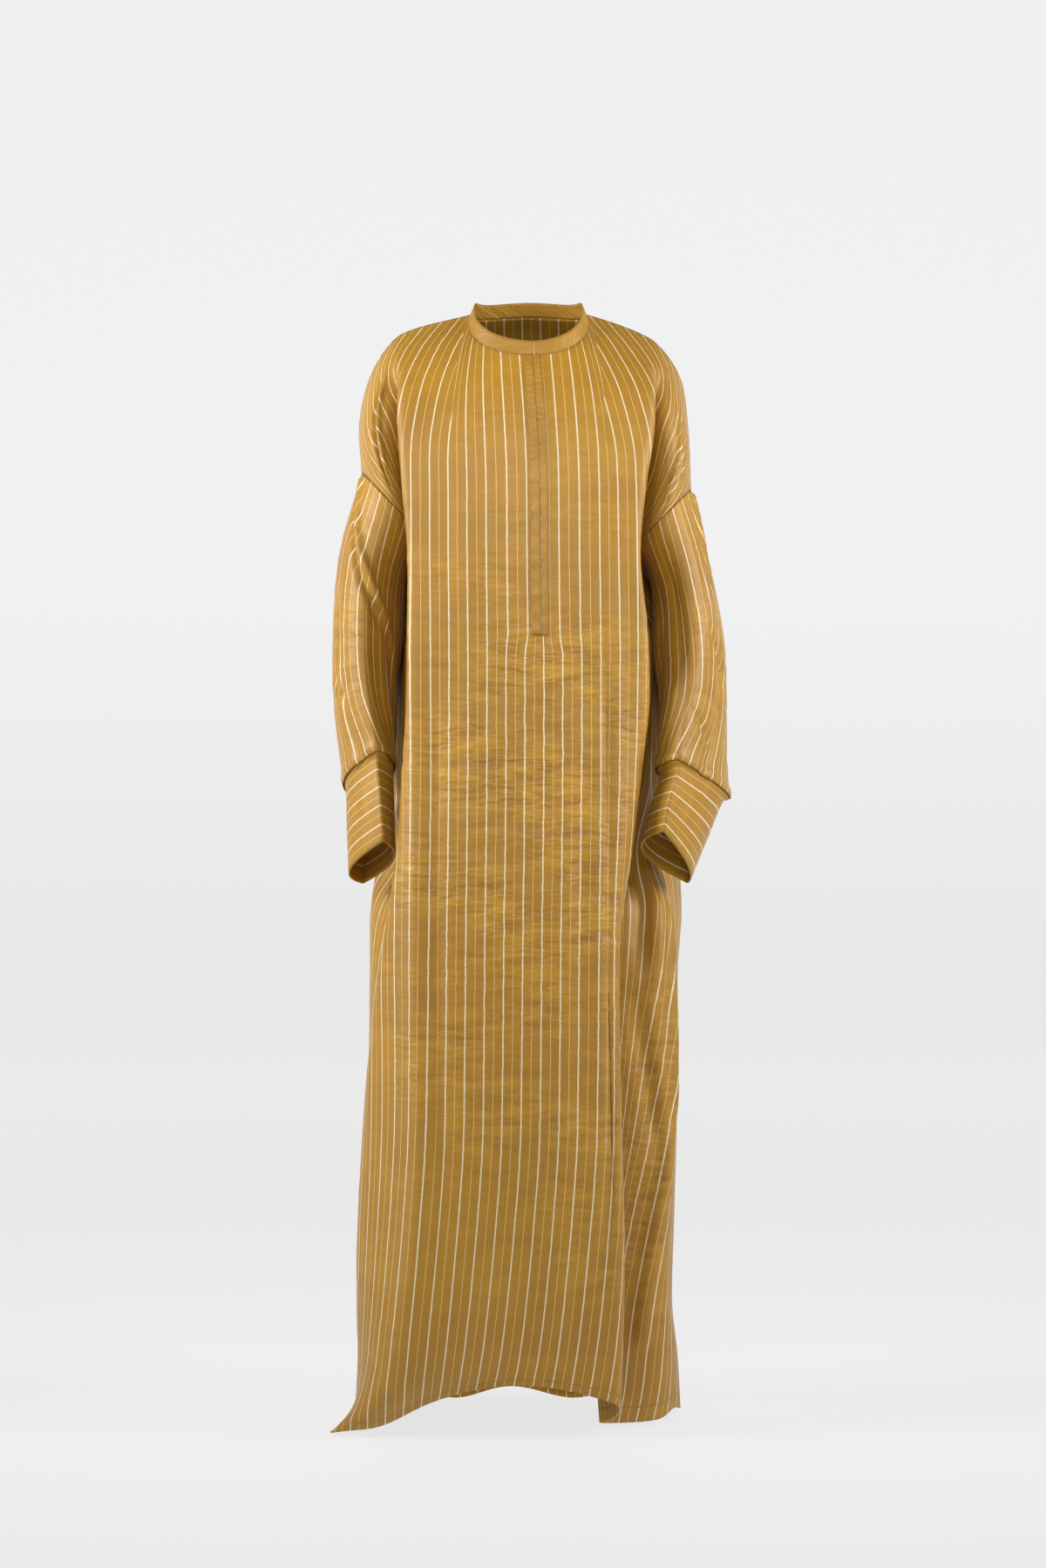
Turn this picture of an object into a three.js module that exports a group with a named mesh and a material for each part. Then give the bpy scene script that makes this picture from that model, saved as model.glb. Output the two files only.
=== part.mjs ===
// A long striped abaya in its worn, hollow form: two wide panels with dropped shoulders, two full
// sleeves, two deep cuffs, a low neckband and the two strips of the front opening. Units are mm,
// +Z is up, the front faces -Y, and the origin is where a wearer's shoulders and neck hold it up.
import * as THREE from "three";

// Driving sizes
const FLOOR = -1437; // the surface that the hem trails on
const PANEL_WALL = 1.6;
const CUFF_WALL = 2.4;
const SEAM_GAP = 0.4;
const NECK_HALF_SHARE = 0.88; // share of the centre-to-ridge span that the neck takes
const FRONT_NECK_DROP = 88;
const BACK_NECK_DROP = 24;
const NECKBAND_HEIGHT = 20;
const ARMHOLE_DEPTH = 233; // flat drop from shoulder line to underarm
const ARMHOLE_REACH = 88; // half depth of the armhole, front to back
const OPENING_END = -424; // lower end of the front opening
const OPENING_HALF = 0.6; // half the gap between the two edges of the opening
const STRIP_EDGE = 10.4; // a strip's outer edge, from the opening's middle
const STRIP_WALL = 1.0;
const CUFF_TUCK = 7; // how far a cuff's top sits up inside the end of its sleeve
const CUFF_INSET = 3.2; // how much less a cuff reaches there than its sleeve

// Grid steps
const ARMHOLE_ROWS = 8;
const LOWER_STEPS = 1;
const SPAN_STEPS = { ridge: 4, brim: 2, valley: 2, bulge: 2, cap: 2, edge: 2 };
const NECK_STEPS = 4;
const SLEEVE_STEPS = 2;

// Stations of a half section, in order out from the centre front or centre back.
const STATIONS = ["ridge", "brim", "valley", "bulge", "cap", "edge"];

// The centre line, shared by both halves: a row for each level, [x, y, z].
const CENTRE = [
  { level: "shoulder", front: [0, -2, 14], back: [0, 2, 14] },
  { level: "collar", front: [3, -60, -38], back: [1, 54, -30] },
  { level: "chest", front: [7, -98, -90], back: [3, 86, -86] },
  { level: "bust", front: [11, -122, -146], back: [5, 102, -146] },
  { level: "underarm", front: [14, -134, -206], back: [6, 110, -206] },
  { level: "rib", front: [15, -141, -320], back: [7, 114, -320] },
  { level: "waist", front: [16, -145, OPENING_END], back: [7, 116, -420] },
  { level: "belly", front: [16, -149, -510], back: [7, 120, -510] },
  { level: "hip", front: [16, -153, -600], back: [7, 128, -600] },
  { level: "wrist", front: [15, -157, -700], back: [6, 138, -700] },
  { level: "hand", front: [14, -160, -775], back: [5, 146, -775] },
  { level: "thigh", front: [13, -162, -860], back: [4, 152, -860] },
  { level: "knee", front: [12, -164, -960], back: [2, 160, -960] },
  { level: "calf", front: [10, -166, -1070], back: [0, 168, -1070] },
  { level: "shin", front: [2, -167, -1180], back: [-4, 176, -1180] },
  { level: "ankle", front: [-9, -166, -1290], back: [-8, 184, -1290] },
  { level: "heel", front: [-16, -163, -1340], back: [-10, 190, -1350] },
  { level: "hem", front: [-22, -160, -1370], back: [-12, 204, -1434] },
];

// The front halves: a row for each level, a column for each station, [out, y, z].
// The armhole rows have no edge, because their edge lies on the armhole ring.
const RIGHT_FRONT = [
  {
    ridge: [85, 0, -5], brim: [148, 0, -21], valley: [172, 0, -33],
    bulge: [203, 0, -78], cap: [219, 2, -142],
  },
  {
    ridge: [98, -50, -46], brim: [160, -42, -58], valley: [178, -40, -72],
    bulge: [196, -50, -108], cap: [211, -55, -160],
  },
  {
    ridge: [105, -90, -98], brim: [166, -84, -106], valley: [160, -62, -116],
    bulge: [181, -78, -144], cap: [192, -88, -192],
  },
  {
    ridge: [110, -112, -154], brim: [165, -106, -160], valley: [152, -62, -172],
    bulge: [168, -76, -204], cap: [164, -78, -238],
  },
  {
    ridge: [112, -124, -212], brim: [161, -114, -220], valley: [132, -50, -232],
    bulge: [150, -54, -256], cap: [135, -22, -280],
  },
  {
    ridge: [112, -133, -320], brim: [153, -122, -320], valley: [110, -72, -320],
    bulge: [134, -42, -320], cap: [127, -18, -320], edge: [122, 2, -320],
  },
  {
    ridge: [112, -138, -420], brim: [150, -127, -420], valley: [112, -76, -420],
    bulge: [156, -44, -420], cap: [153, -18, -420], edge: [150, 6, -420],
  },
  {
    ridge: [114, -143, -510], brim: [153, -130, -510], valley: [114, -80, -510],
    bulge: [159, -44, -510], cap: [156, -18, -510], edge: [152, 8, -510],
  },
  {
    ridge: [120, -149, -600], brim: [160, -132, -600], valley: [118, -80, -600],
    bulge: [160, -42, -600], cap: [158, -12, -600], edge: [156, 14, -600],
  },
  {
    ridge: [130, -157, -700], brim: [166, -134, -700], valley: [134, -72, -700],
    bulge: [166, 22, -700], cap: [192, 46, -700], edge: [194, 56, -700],
  },
  {
    ridge: [130, -161, -775], brim: [177, -130, -775], valley: [163, -66, -775],
    bulge: [196, 0, -775], cap: [205, 28, -775], edge: [202, 58, -775],
  },
  {
    ridge: [128, -165, -860], brim: [191, -118, -860], valley: [184, -70, -860],
    bulge: [202, -14, -860], cap: [206, 18, -860], edge: [205, 50, -860],
  },
  {
    ridge: [129, -168, -960], brim: [199, -106, -960], valley: [201, -72, -960],
    bulge: [205, -24, -960], cap: [207, 12, -960], edge: [206, 46, -960],
  },
  {
    ridge: [134, -172, -1070], brim: [206, -100, -1070], valley: [210, -62, -1070],
    bulge: [212, -20, -1070], cap: [212, 14, -1070], edge: [209, 46, -1070],
  },
  {
    ridge: [143, -177, -1180], brim: [213, -96, -1180], valley: [216, -60, -1180],
    bulge: [219, -16, -1180], cap: [219, 18, -1180], edge: [214, 48, -1180],
  },
  {
    ridge: [162, -180, -1290], brim: [217, -94, -1290], valley: [218, -60, -1290],
    bulge: [222, -10, -1290], cap: [222, 22, -1290], edge: [217, 52, -1290],
  },
  {
    ridge: [184, -172, -1358], brim: [216, -96, -1352], valley: [212, -62, -1352],
    bulge: [219, -6, -1352], cap: [222, 26, -1352], edge: [218, 56, -1352],
  },
  {
    ridge: [251, -118, -1435], brim: [222, -72, -1434], valley: [208, -48, -1432],
    bulge: [216, 4, -1428], cap: [226, 32, -1430], edge: [224, 62, -1434],
  },
];
const LEFT_FRONT = [
  {
    ridge: [85, 0, -5], brim: [146, 0, -27], valley: [168, 0, -41],
    bulge: [197, 0, -84], cap: [208, 2, -156],
  },
  {
    ridge: [98, -50, -46], brim: [155, -42, -64], valley: [173, -40, -80],
    bulge: [189, -50, -116], cap: [203, -55, -176],
  },
  {
    ridge: [105, -90, -98], brim: [161, -84, -108], valley: [156, -60, -118],
    bulge: [175, -78, -150], cap: [187, -88, -208],
  },
  {
    ridge: [108, -112, -154], brim: [159, -104, -162], valley: [148, -58, -174],
    bulge: [165, -76, -212], cap: [162, -78, -252],
  },
  {
    ridge: [106, -126, -212], brim: [150, -116, -222], valley: [128, -48, -234],
    bulge: [150, -54, -266], cap: [135, -22, -292],
  },
  {
    ridge: [100, -136, -320], brim: [142, -126, -320], valley: [96, -74, -320],
    bulge: [134, -42, -320], cap: [127, -18, -320], edge: [122, 2, -320],
  },
  {
    ridge: [97, -143, -420], brim: [151, -128, -420], valley: [98, -80, -420],
    bulge: [156, -44, -420], cap: [153, -18, -420], edge: [149, 6, -420],
  },
  {
    ridge: [96, -149, -510], brim: [153, -127, -510], valley: [98, -84, -510],
    bulge: [158, -44, -510], cap: [155, -16, -510], edge: [151, 8, -510],
  },
  {
    ridge: [100, -155, -600], brim: [143, -126, -600], valley: [92, -84, -600],
    bulge: [156, -42, -600], cap: [156, -8, -600], edge: [154, 16, -600],
  },
  {
    ridge: [103, -160, -700], brim: [131, -128, -700], valley: [84, -82, -700],
    bulge: [156, -20, -700], cap: [182, 24, -700], edge: [192, 52, -700],
  },
  {
    ridge: [105, -162, -775], brim: [119, -124, -775], valley: [80, -84, -775],
    bulge: [166, -62, -775], cap: [192, -2, -775], edge: [198, 30, -775],
  },
  {
    ridge: [107, -163, -860], brim: [112, -122, -860], valley: [78, -86, -860],
    bulge: [168, -72, -860], cap: [188, -32, -860], edge: [192, 2, -860],
  },
  {
    ridge: [110, -164, -960], brim: [111, -118, -960], valley: [80, -86, -960],
    bulge: [174, -68, -960], cap: [188, -36, -960], edge: [191, -8, -960],
  },
  {
    ridge: [113, -165, -1070], brim: [112, -116, -1070], valley: [82, -84, -1070],
    bulge: [176, -62, -1070], cap: [188, -36, -1070], edge: [191, -10, -1070],
  },
  {
    ridge: [116, -166, -1180], brim: [113, -114, -1180], valley: [84, -84, -1180],
    bulge: [175, -60, -1180], cap: [185, -36, -1180], edge: [188, -10, -1180],
  },
  {
    ridge: [115, -166, -1290], brim: [112, -114, -1290], valley: [86, -84, -1290],
    bulge: [170, -60, -1290], cap: [182, -36, -1290], edge: [186, -8, -1290],
  },
  {
    ridge: [114, -164, -1345], brim: [110, -112, -1352], valley: [88, -84, -1356],
    bulge: [170, -60, -1352], cap: [187, -32, -1350], edge: [193, -4, -1352],
  },
  {
    ridge: [111, -160, -1395], brim: [107, -112, -1420], valley: [92, -78, -1430],
    bulge: [168, -46, -1430], cap: [188, -20, -1420], edge: [197, 6, -1424],
  },
];

// The back halves, both mirrored from one table. Its shoulder row and its edge are the front's.
const BACK = [
  {
    ridge: [98, 48, -42], brim: [156, 40, -58], valley: [174, 38, -74],
    bulge: [193, 50, -110], cap: [207, 56, -166],
  },
  {
    ridge: [105, 82, -94], brim: [161, 74, -104], valley: [160, 58, -116],
    bulge: [177, 76, -146], cap: [189, 88, -200],
  },
  {
    ridge: [108, 96, -152], brim: [158, 86, -160], valley: [150, 58, -172],
    bulge: [166, 76, -208], cap: [163, 78, -245],
  },
  {
    ridge: [108, 103, -212], brim: [152, 90, -220], valley: [130, 48, -236],
    bulge: [148, 54, -256], cap: [134, 22, -279],
  },
  {
    ridge: [96, 112, -320], brim: [130, 102, -326], valley: [122, 82, -336],
    bulge: [142, 80, -345], cap: [131, 34, -330],
  },
  {
    ridge: [98, 117, -420], brim: [142, 108, -420], valley: [136, 84, -420],
    bulge: [174, 94, -420], cap: [168, 48, -420],
  },
  {
    ridge: [100, 124, -510], brim: [150, 114, -510], valley: [144, 90, -510],
    bulge: [179, 92, -510], cap: [172, 50, -510],
  },
  {
    ridge: [102, 134, -600], brim: [156, 122, -600], valley: [152, 100, -600],
    bulge: [185, 92, -600], cap: [178, 56, -600],
  },
  {
    ridge: [98, 137, -700], brim: [158, 128, -700], valley: [174, 110, -700],
    bulge: [187, 96, -700], cap: [195, 80, -700],
  },
  {
    ridge: [102, 145, -775], brim: [160, 138, -775], valley: [182, 120, -775],
    bulge: [196, 104, -775], cap: [201, 84, -775],
  },
  {
    ridge: [102, 151, -860], brim: [160, 144, -860], valley: [184, 124, -860],
    bulge: [197, 104, -860], cap: [201, 76, -860],
  },
  {
    ridge: [104, 159, -960], brim: [162, 150, -960], valley: [186, 130, -960],
    bulge: [199, 106, -960], cap: [202, 72, -960],
  },
  {
    ridge: [106, 167, -1070], brim: [166, 158, -1070], valley: [190, 136, -1070],
    bulge: [202, 108, -1070], cap: [205, 72, -1070],
  },
  {
    ridge: [108, 175, -1180], brim: [170, 165, -1180], valley: [194, 142, -1180],
    bulge: [205, 112, -1180], cap: [207, 74, -1180],
  },
  {
    ridge: [110, 183, -1290], brim: [173, 172, -1290], valley: [197, 148, -1290],
    bulge: [207, 116, -1290], cap: [208, 78, -1290],
  },
  {
    ridge: [112, 189, -1350], brim: [176, 177, -1350], valley: [200, 153, -1350],
    bulge: [210, 120, -1350], cap: [211, 82, -1350],
  },
  {
    ridge: [116, 202, -1434], brim: [184, 188, -1434], valley: [210, 162, -1434],
    bulge: [220, 128, -1434], cap: [220, 90, -1434],
  },
];

// Each side: its sign along X, how far out its back lies at some levels as a share of the table,
// the outermost and innermost points of its armhole, and its sleeve.
// Sleeve and cuff rows give a ring's centre and the reach from it to the outer side, the front
// crease and the inner side, [out, y, z]; the back crease lies opposite the front one.
const SIDES = {
  right: {
    sign: -1,
    front: RIGHT_FRONT,
    backShare: {},
    shoulderPoint: [216, 4, -208],
    underarm: [138, 0, -292],
    sleeve: [
      { centre: [203, -3, -338], outer: [42, 0, 22], front: [0, -90, 6], inner: [-37, 0, -22] },
      { centre: [210, -9, -430], outer: [43, 0, 8], front: [0, -90, 14], inner: [-41, 0, -8] },
      { centre: [208, -27, -520], outer: [42, 0, 0], front: [-2, -85, 24], inner: [-38, 0, -4] },
      { centre: [203, -58, -598], outer: [34, 3, -10], front: [-11, -64, 28], inner: [-31, -3, 4] },
    ],
    cuff: [
      { centre: [201, -64, -658], outer: [30, -2, -8], front: [-13, -60, 28], inner: [-27, 3, 4] },
      { centre: [199, -70, -713], outer: [29, -6, -8], front: [-15, -56, 28], inner: [-26, 8, 4] },
    ],
  },
  left: {
    sign: 1,
    front: LEFT_FRONT,
    backShare: { thigh: 0.975, knee: 0.98, calf: 0.946, shin: 0.923, ankle: 0.904, heel: 0.905, hem: 0.89 },
    shoulderPoint: [211, 4, -230],
    underarm: [138, 0, -305],
    sleeve: [
      { centre: [202, -4, -350], outer: [33, 0, 22], front: [0, -90, 6], inner: [-36, 0, -20] },
      { centre: [211, -14, -440], outer: [43, 2, 8], front: [-3, -92, 16], inner: [-44, -2, -8] },
      { centre: [216, -42, -525], outer: [39, 8, -2], front: [-13, -88, 26], inner: [-46, -6, 0] },
      { centre: [222, -84, -606], outer: [24, 0, -10], front: [-33, -62, 25], inner: [-52, 14, 2] },
    ],
    cuff: [
      { centre: [204, -88, -658], outer: [15, -6, -9], front: [-25, -58, 28], inner: [-46, 16, 5] },
      { centre: [188, -89, -706], outer: [16, -6, -11], front: [-17, -56, 34], inner: [-42, 14, 8] },
    ],
  },
};

// The largest folds, in the flat cloth: where each starts and ends, as distance from the centre
// line and drop from the shoulder, its width and its depth. Plus is a ridge, minus a trough.
const BACK_FOLDS = [
  { name: "centre pleat", across: [6, -14], drop: [240, 1480], width: [34, 52], depth: [4, 30] },
  { name: "right inner", across: [-62, -84], drop: [300, 1480], width: [26, 44], depth: [3, -28] },
  { name: "right outer", across: [-120, -160], drop: [420, 1480], width: [28, 46], depth: [3, 26] },
  { name: "left inner", across: [56, 74], drop: [260, 1480], width: [26, 44], depth: [3, -26] },
  { name: "left outer", across: [112, 150], drop: [380, 1480], width: [28, 46], depth: [3, 28] },
];

const add = (a, b, k = 1) => a.map((v, i) => v + b[i] * k);
const sub = (a, b) => a.map((v, i) => v - b[i]);
const mix = (a, b, f) => a.map((v, i) => v + (b[i] - v) * f);
const size = (a) => Math.hypot(...a);
const unit = (a) => a.map((v) => v / (size(a) || 1));
const dot = (a, b) => a.reduce((sum, v, i) => sum + v * b[i], 0);
const cross = ([a, b, c], [p, q, r]) => [b * r - c * q, c * p - a * r, a * q - b * p];
const place = (p, sign) => [p[0] * sign, p[1], p[2]];

// A point between b and c on the smooth curve through a, b, c and d (centripetal Catmull-Rom).
function between(a, b, c, d, f) {
  const step = (p, q) => Math.max(1e-3, Math.sqrt(size(sub(p, q))));
  const t1 = step(a, b);
  const t2 = t1 + step(b, c);
  const t3 = t2 + step(c, d);
  const t = t1 + (t2 - t1) * f;
  const lerp = (p, q, from, to) => mix(p, q, (t - from) / (to - from));
  const ab = lerp(a, b, 0, t1);
  const bc = lerp(b, c, t1, t2);
  const cd = lerp(c, d, t2, t3);
  return lerp(lerp(ab, bc, 0, t2), lerp(bc, cd, t1, t3), t1, t2);
}

// The same curve, read at row v of a list of points.
function along(list, v) {
  const k = Math.min(list.length - 2, Math.max(0, Math.floor(v)));
  const f = v - k;
  if (f === 0) return list[k];
  const before = list[k - 1] ?? add(list[k], sub(list[k + 1], list[k]), -1);
  const after = list[k + 2] ?? add(list[k + 1], sub(list[k + 1], list[k]));
  return between(before, list[k], list[k + 1], after, f);
}

// A point of a ring round an arm; angle 0 is its outer side and a quarter turn its front crease.
function ringPoint(ring, turn) {
  const c = Math.cos(turn);
  const s = Math.sin(turn);
  const side = c >= 0 ? ring.outer : ring.inner;
  return add(add(ring.centre, side, Math.abs(c)), ring.front, s);
}

function armhole(side) {
  const half = sub(side.shoulderPoint, side.underarm).map((v) => v / 2);
  return {
    centre: add(side.underarm, half),
    outer: half,
    front: [0, -ARMHOLE_REACH, 0],
    inner: half.map((v) => -v),
  };
}

// All the stations of one half section at every table row, with one more past each end.
const TABLE_ARMHOLE_ROWS = 4;
function tableOf(side, face) {
  if (face === "front") return side.front;
  return [side.front[0], ...BACK].map((row, k) => {
    const share = side.backShare[CENTRE[k].level] ?? 1;
    const narrowed = Object.entries(row).map(([name, [out, y, z]]) => [name, [out * share, y, z]]);
    return Object.fromEntries(narrowed);
  });
}
function halfSections(side, face) {
  const other = side === SIDES.right ? SIDES.left : SIDES.right;
  const otherTable = tableOf(other, face);
  const opposite = tableOf(side, face === "front" ? "back" : "front");
  const ring = armhole(side);
  const way = face === "front" ? 1 : -1;
  return tableOf(side, face).map((row, k) => {
    const onArm = k <= TABLE_ARMHOLE_ROWS;
    const turn = (way * Math.PI * k) / TABLE_ARMHOLE_ROWS;
    const edge = place(onArm ? ringPoint(ring, turn) : side.front[k].edge, side.sign);
    const points = STATIONS.slice(0, -1).map((name) => place(row[name], side.sign));
    const beyond = onArm
      ? add(edge, sub(edge, points.at(-1)), 0.6)
      : place(opposite[k].cap, side.sign);
    return [place(otherTable[k].ridge, other.sign), CENTRE[k][face], ...points, edge, beyond];
  });
}

// Table row for a grid row: the armhole's table rows are spread over its grid rows.
const rowOf = (grid) =>
  grid <= ARMHOLE_ROWS
    ? (grid * TABLE_ARMHOLE_ROWS) / ARMHOLE_ROWS
    : TABLE_ARMHOLE_ROWS + (grid - ARMHOLE_ROWS) / LOWER_STEPS;
const GRID_ROWS = ARMHOLE_ROWS + (CENTRE.length - 1 - TABLE_ARMHOLE_ROWS) * LOWER_STEPS;

// Columns of a half grid: which span between two stations, how far along it, and the neck's turn.
const MIDDLE_SPAN = 108; // about the span from the centre to the ridge, which shares are counted in
function columns() {
  const neckColumn = (share) => ({ span: 0, share, neck: Math.sqrt(1 - (share / NECK_HALF_SHARE) ** 2) });
  const list = [OPENING_HALF, STRIP_EDGE].map((across) => neckColumn(across / MIDDLE_SPAN));
  for (let i = 1; i <= NECK_STEPS; i++) {
    list.push(neckColumn(NECK_HALF_SHARE * Math.sin((Math.PI / 2) * (i / NECK_STEPS))));
  }
  STATIONS.forEach((name, span) => {
    const first = span === 0 ? SPAN_STEPS.ridge : 1;
    for (let i = first; i <= SPAN_STEPS[name]; i++) {
      list.push({ span, share: i / SPAN_STEPS[name], neck: 0 });
    }
  });
  return list;
}

const smooth = (f) => f * f * (3 - 2 * f);
const clamp = (v, low = 0, high = 1) => Math.min(high, Math.max(low, v));

function foldDepth(folds, across, drop) {
  return folds.reduce((sum, fold) => {
    const f = (drop - fold.drop[0]) / (fold.drop[1] - fold.drop[0]);
    if (f <= 0) return sum;
    const g = clamp(f);
    const middle = fold.across[0] + (fold.across[1] - fold.across[0]) * g;
    const width = fold.width[0] + (fold.width[1] - fold.width[0]) * g;
    const start = fold.depth[0] * Math.sign(fold.depth[1]);
    const depth = start * smooth(clamp(g * 6)) + (fold.depth[1] - start) * smooth(g);
    const x = (across - middle) / width;
    return sum + depth * Math.exp(-x * x);
  }, 0);
}

// One panel as a grid of points, from its right edge across the centre to its left edge.
function panelGrid(face) {
  const drop = face === "front" ? FRONT_NECK_DROP : BACK_NECK_DROP;
  const halves = [SIDES.right, SIDES.left].map((side) => {
    const rows = halfSections(side, face);
    const stations = rows[0].map((_, j) => rows.map((row) => row[j]));
    return columns().map((column) => {
      const top = (drop * column.neck * ARMHOLE_ROWS) / ARMHOLE_DEPTH;
      return Array.from({ length: GRID_ROWS + 1 }, (_, i) => {
        const grid = i <= ARMHOLE_ROWS ? top + ((ARMHOLE_ROWS - top) * i) / ARMHOLE_ROWS : i;
        const v = rowOf(grid);
        const around = [0, 1, 2, 3].map((k) => along(stations[column.span + k], v));
        return between(...around, column.share);
      });
    });
  });
  const columnsOut = [...halves[0].reverse(), ...halves[1]];
  const grid = Array.from({ length: GRID_ROWS + 1 }, (_, i) => columnsOut.map((column) => column[i]));
  const way = face === "front" ? 1 : -1;
  for (let i = 0; i <= ARMHOLE_ROWS; i++) {
    const turn = (way * Math.PI * i) / ARMHOLE_ROWS;
    for (const side of [SIDES.right, SIDES.left]) {
      const edge = side.sign < 0 ? 0 : columnsOut.length - 1;
      grid[i][edge] = place(ringPoint(armhole(side), turn), side.sign);
    }
  }
  return grid;
}

// Moves a panel's points out along its normals by its folds, which die away at its edges.
function pleat(grid, folds, normals) {
  const right = grid[0].length / 2 - 1;
  const left = right + 1;
  return grid.map((row, i) => {
    let drop = 0;
    for (let k = 1; k <= i; k++) drop += size(sub(grid[k][left], grid[k - 1][left]));
    const reach = row.map(() => 0);
    for (let j = left; j < row.length; j++) reach[j] = reach[j - 1] + size(sub(row[j], row[j - 1]));
    for (let j = right - 1; j >= 0; j--) reach[j] = reach[j + 1] - size(sub(row[j], row[j + 1]));
    return row.map((p, j) => {
      const fade = Math.min(1, j / 4, (row.length - 1 - j) / 4);
      return add(p, normals[i][j], foldDepth(folds, reach[j], drop) * fade);
    });
  });
}

// Outward normals of a grid whose columns run from -X to +X on the front, or round a ring.
function gridNormals(grid, flip, ringed = false) {
  const rows = grid.length;
  const count = grid[0].length;
  return grid.map((row, i) =>
    row.map((_, j) => {
      const west = ringed ? (j - 1 + count) % count : Math.max(0, j - 1);
      const east = ringed ? (j + 1) % count : Math.min(count - 1, j + 1);
      const acrossWay = sub(row[east], row[west]);
      const downWay = sub(grid[Math.min(rows - 1, i + 1)][j], grid[Math.max(0, i - 1)][j]);
      return unit(cross(acrossWay, downWay)).map((v) => v * flip);
    }),
  );
}

// Pulls the border of a grid back along the cloth, so that two pieces stay a seam's gap apart.
function pullBack(grid, { top = 0, bottom = 0, sides = 0 }) {
  const out = grid.map((row) => row.map((p) => [...p]));
  const last = grid.length - 1;
  const end = grid[0].length - 1;
  const pull = (i, j, k, l, by) => {
    const way = sub(grid[k][l], grid[i][j]);
    const before = i === k ? grid[i - 1]?.[j] : grid[i][j - 1];
    const after = i === k ? grid[i + 1]?.[j] : grid[i][j + 1];
    const seam = unit(sub(after ?? grid[i][j], before ?? grid[i][j]));
    const square = add(way, seam, -dot(way, seam));
    if (size(square) > 1e-6) out[i][j] = add(out[i][j], unit(square), by);
  };
  grid[0].forEach((_, j) => {
    if (top) pull(0, j, 1, j, top);
    if (bottom) pull(last, j, last - 1, j, bottom);
  });
  grid.forEach((_, i) => {
    if (!sides) return;
    pull(i, 0, i, 1, sides);
    pull(i, end, i, end - 1, sides);
  });
  return out;
}

// A closed wall of the given thickness on a grid of points. A ringed grid closes on itself, and a
// cell that isOpen names is left out, with its sides walled.
function wall(grid, normals, thickness, { ringed = false, isOpen = () => false } = {}) {
  const count = grid[0].length;
  const cellRows = grid.length - 1;
  const cellColumns = ringed ? count : count - 1;
  const hasCell = (i, j) => {
    const inRows = i >= 0 && i < cellRows;
    const k = ringed ? (j + cellColumns) % cellColumns : j;
    return inRows && k >= 0 && k < cellColumns && !isOpen(i, k);
  };
  const corner = (i, j, side) => add(grid[i][j % count], normals[i][j % count], (thickness / 2) * side);
  const positions = [];
  const quad = (...corners) => [0, 1, 2, 0, 2, 3].forEach((k) => positions.push(...corners[k]));
  // A border face starts at its lower end, so that two pieces split a shared seam alike.
  const height = ([i, j]) => dot(grid[i][j % count], [0.11, 0.37, 1]);
  const border = (from, to) => {
    const face = [corner(...to, 1), corner(...from, 1), corner(...from, -1), corner(...to, -1)];
    if (height(from) < height(to)) face.push(face.shift());
    quad(...face);
  };
  for (let i = 0; i < cellRows; i++) {
    for (let j = 0; j < cellColumns; j++) {
      if (!hasCell(i, j)) continue;
      const ends = [[i, j], [i + 1, j], [i + 1, j + 1], [i, j + 1]];
      quad(...ends.map((at) => corner(...at, 1)));
      quad(...[0, 3, 2, 1].map((k) => corner(...ends[k], -1)));
      const beyond = [[i, j - 1], [i + 1, j], [i, j + 1], [i - 1, j]];
      beyond.forEach((at, k) => !hasCell(...at) && border(ends[k], ends[(k + 1) % 4]));
    }
  }
  const geometry = new THREE.BufferGeometry();
  geometry.setAttribute("position", new THREE.Float32BufferAttribute(positions, 3));
  return outward(geometry);
}

// Turns every face round if the solid encloses a negative volume.
function outward(geometry) {
  const p = geometry.attributes.position.array;
  let volume = 0;
  for (let i = 0; i < p.length; i += 9) {
    const [a, b, c] = [0, 3, 6].map((k) => [p[i + k], p[i + k + 1], p[i + k + 2]]);
    volume += dot(a, cross(b, c));
  }
  if (volume < 0) {
    for (let i = 0; i < p.length; i += 9) {
      for (let k = 0; k < 3; k++) [p[i + 3 + k], p[i + 6 + k]] = [p[i + 6 + k], p[i + 3 + k]];
    }
  }
  geometry.computeVertexNormals();
  return geometry;
}

const CLOTH = { color: 0xbd9049, roughness: 0.55, metalness: 0 };
const abaya = new THREE.Group();

function addPiece(name, geometry, finish = CLOTH) {
  const mesh = new THREE.Mesh(geometry, new THREE.MeshStandardMaterial(finish));
  mesh.name = name;
  abaya.add(mesh);
}

// Panels
const frontGrid = panelGrid("front");
const backFlat = panelGrid("back");
const backGrid = pleat(backFlat, BACK_FOLDS, gridNormals(backFlat, 1));
const frontNormals = gridNormals(frontGrid, -1);
const backNormals = gridNormals(backGrid, 1);
const EAST = frontGrid[0].length - 1;
const MIDDLE = frontGrid[0].length / 2; // the first column left of the opening
const NECK_EAST = MIDDLE + 1 + NECK_STEPS; // the neck's left end

// Sleeves, as rings that start on the armhole's own points
function sleeveGrid(side) {
  const rings = [armhole(side), ...side.sleeve];
  const count = ARMHOLE_ROWS * 2;
  const lines = Array.from({ length: count }, (_, j) => {
    const turn = (Math.PI * 2 * j) / count;
    return rings.map((ring) => place(ringPoint(ring, turn), side.sign));
  });
  const rows = (rings.length - 1) * SLEEVE_STEPS;
  return Array.from({ length: rows + 1 }, (_, i) => lines.map((line) => along(line, i / SLEEVE_STEPS)));
}

const sleeves = {};
for (const [name, side] of Object.entries(SIDES)) {
  const grid = sleeveGrid(side);
  sleeves[name] = { grid, normals: gridNormals(grid, side.sign, true) };
}

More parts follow.
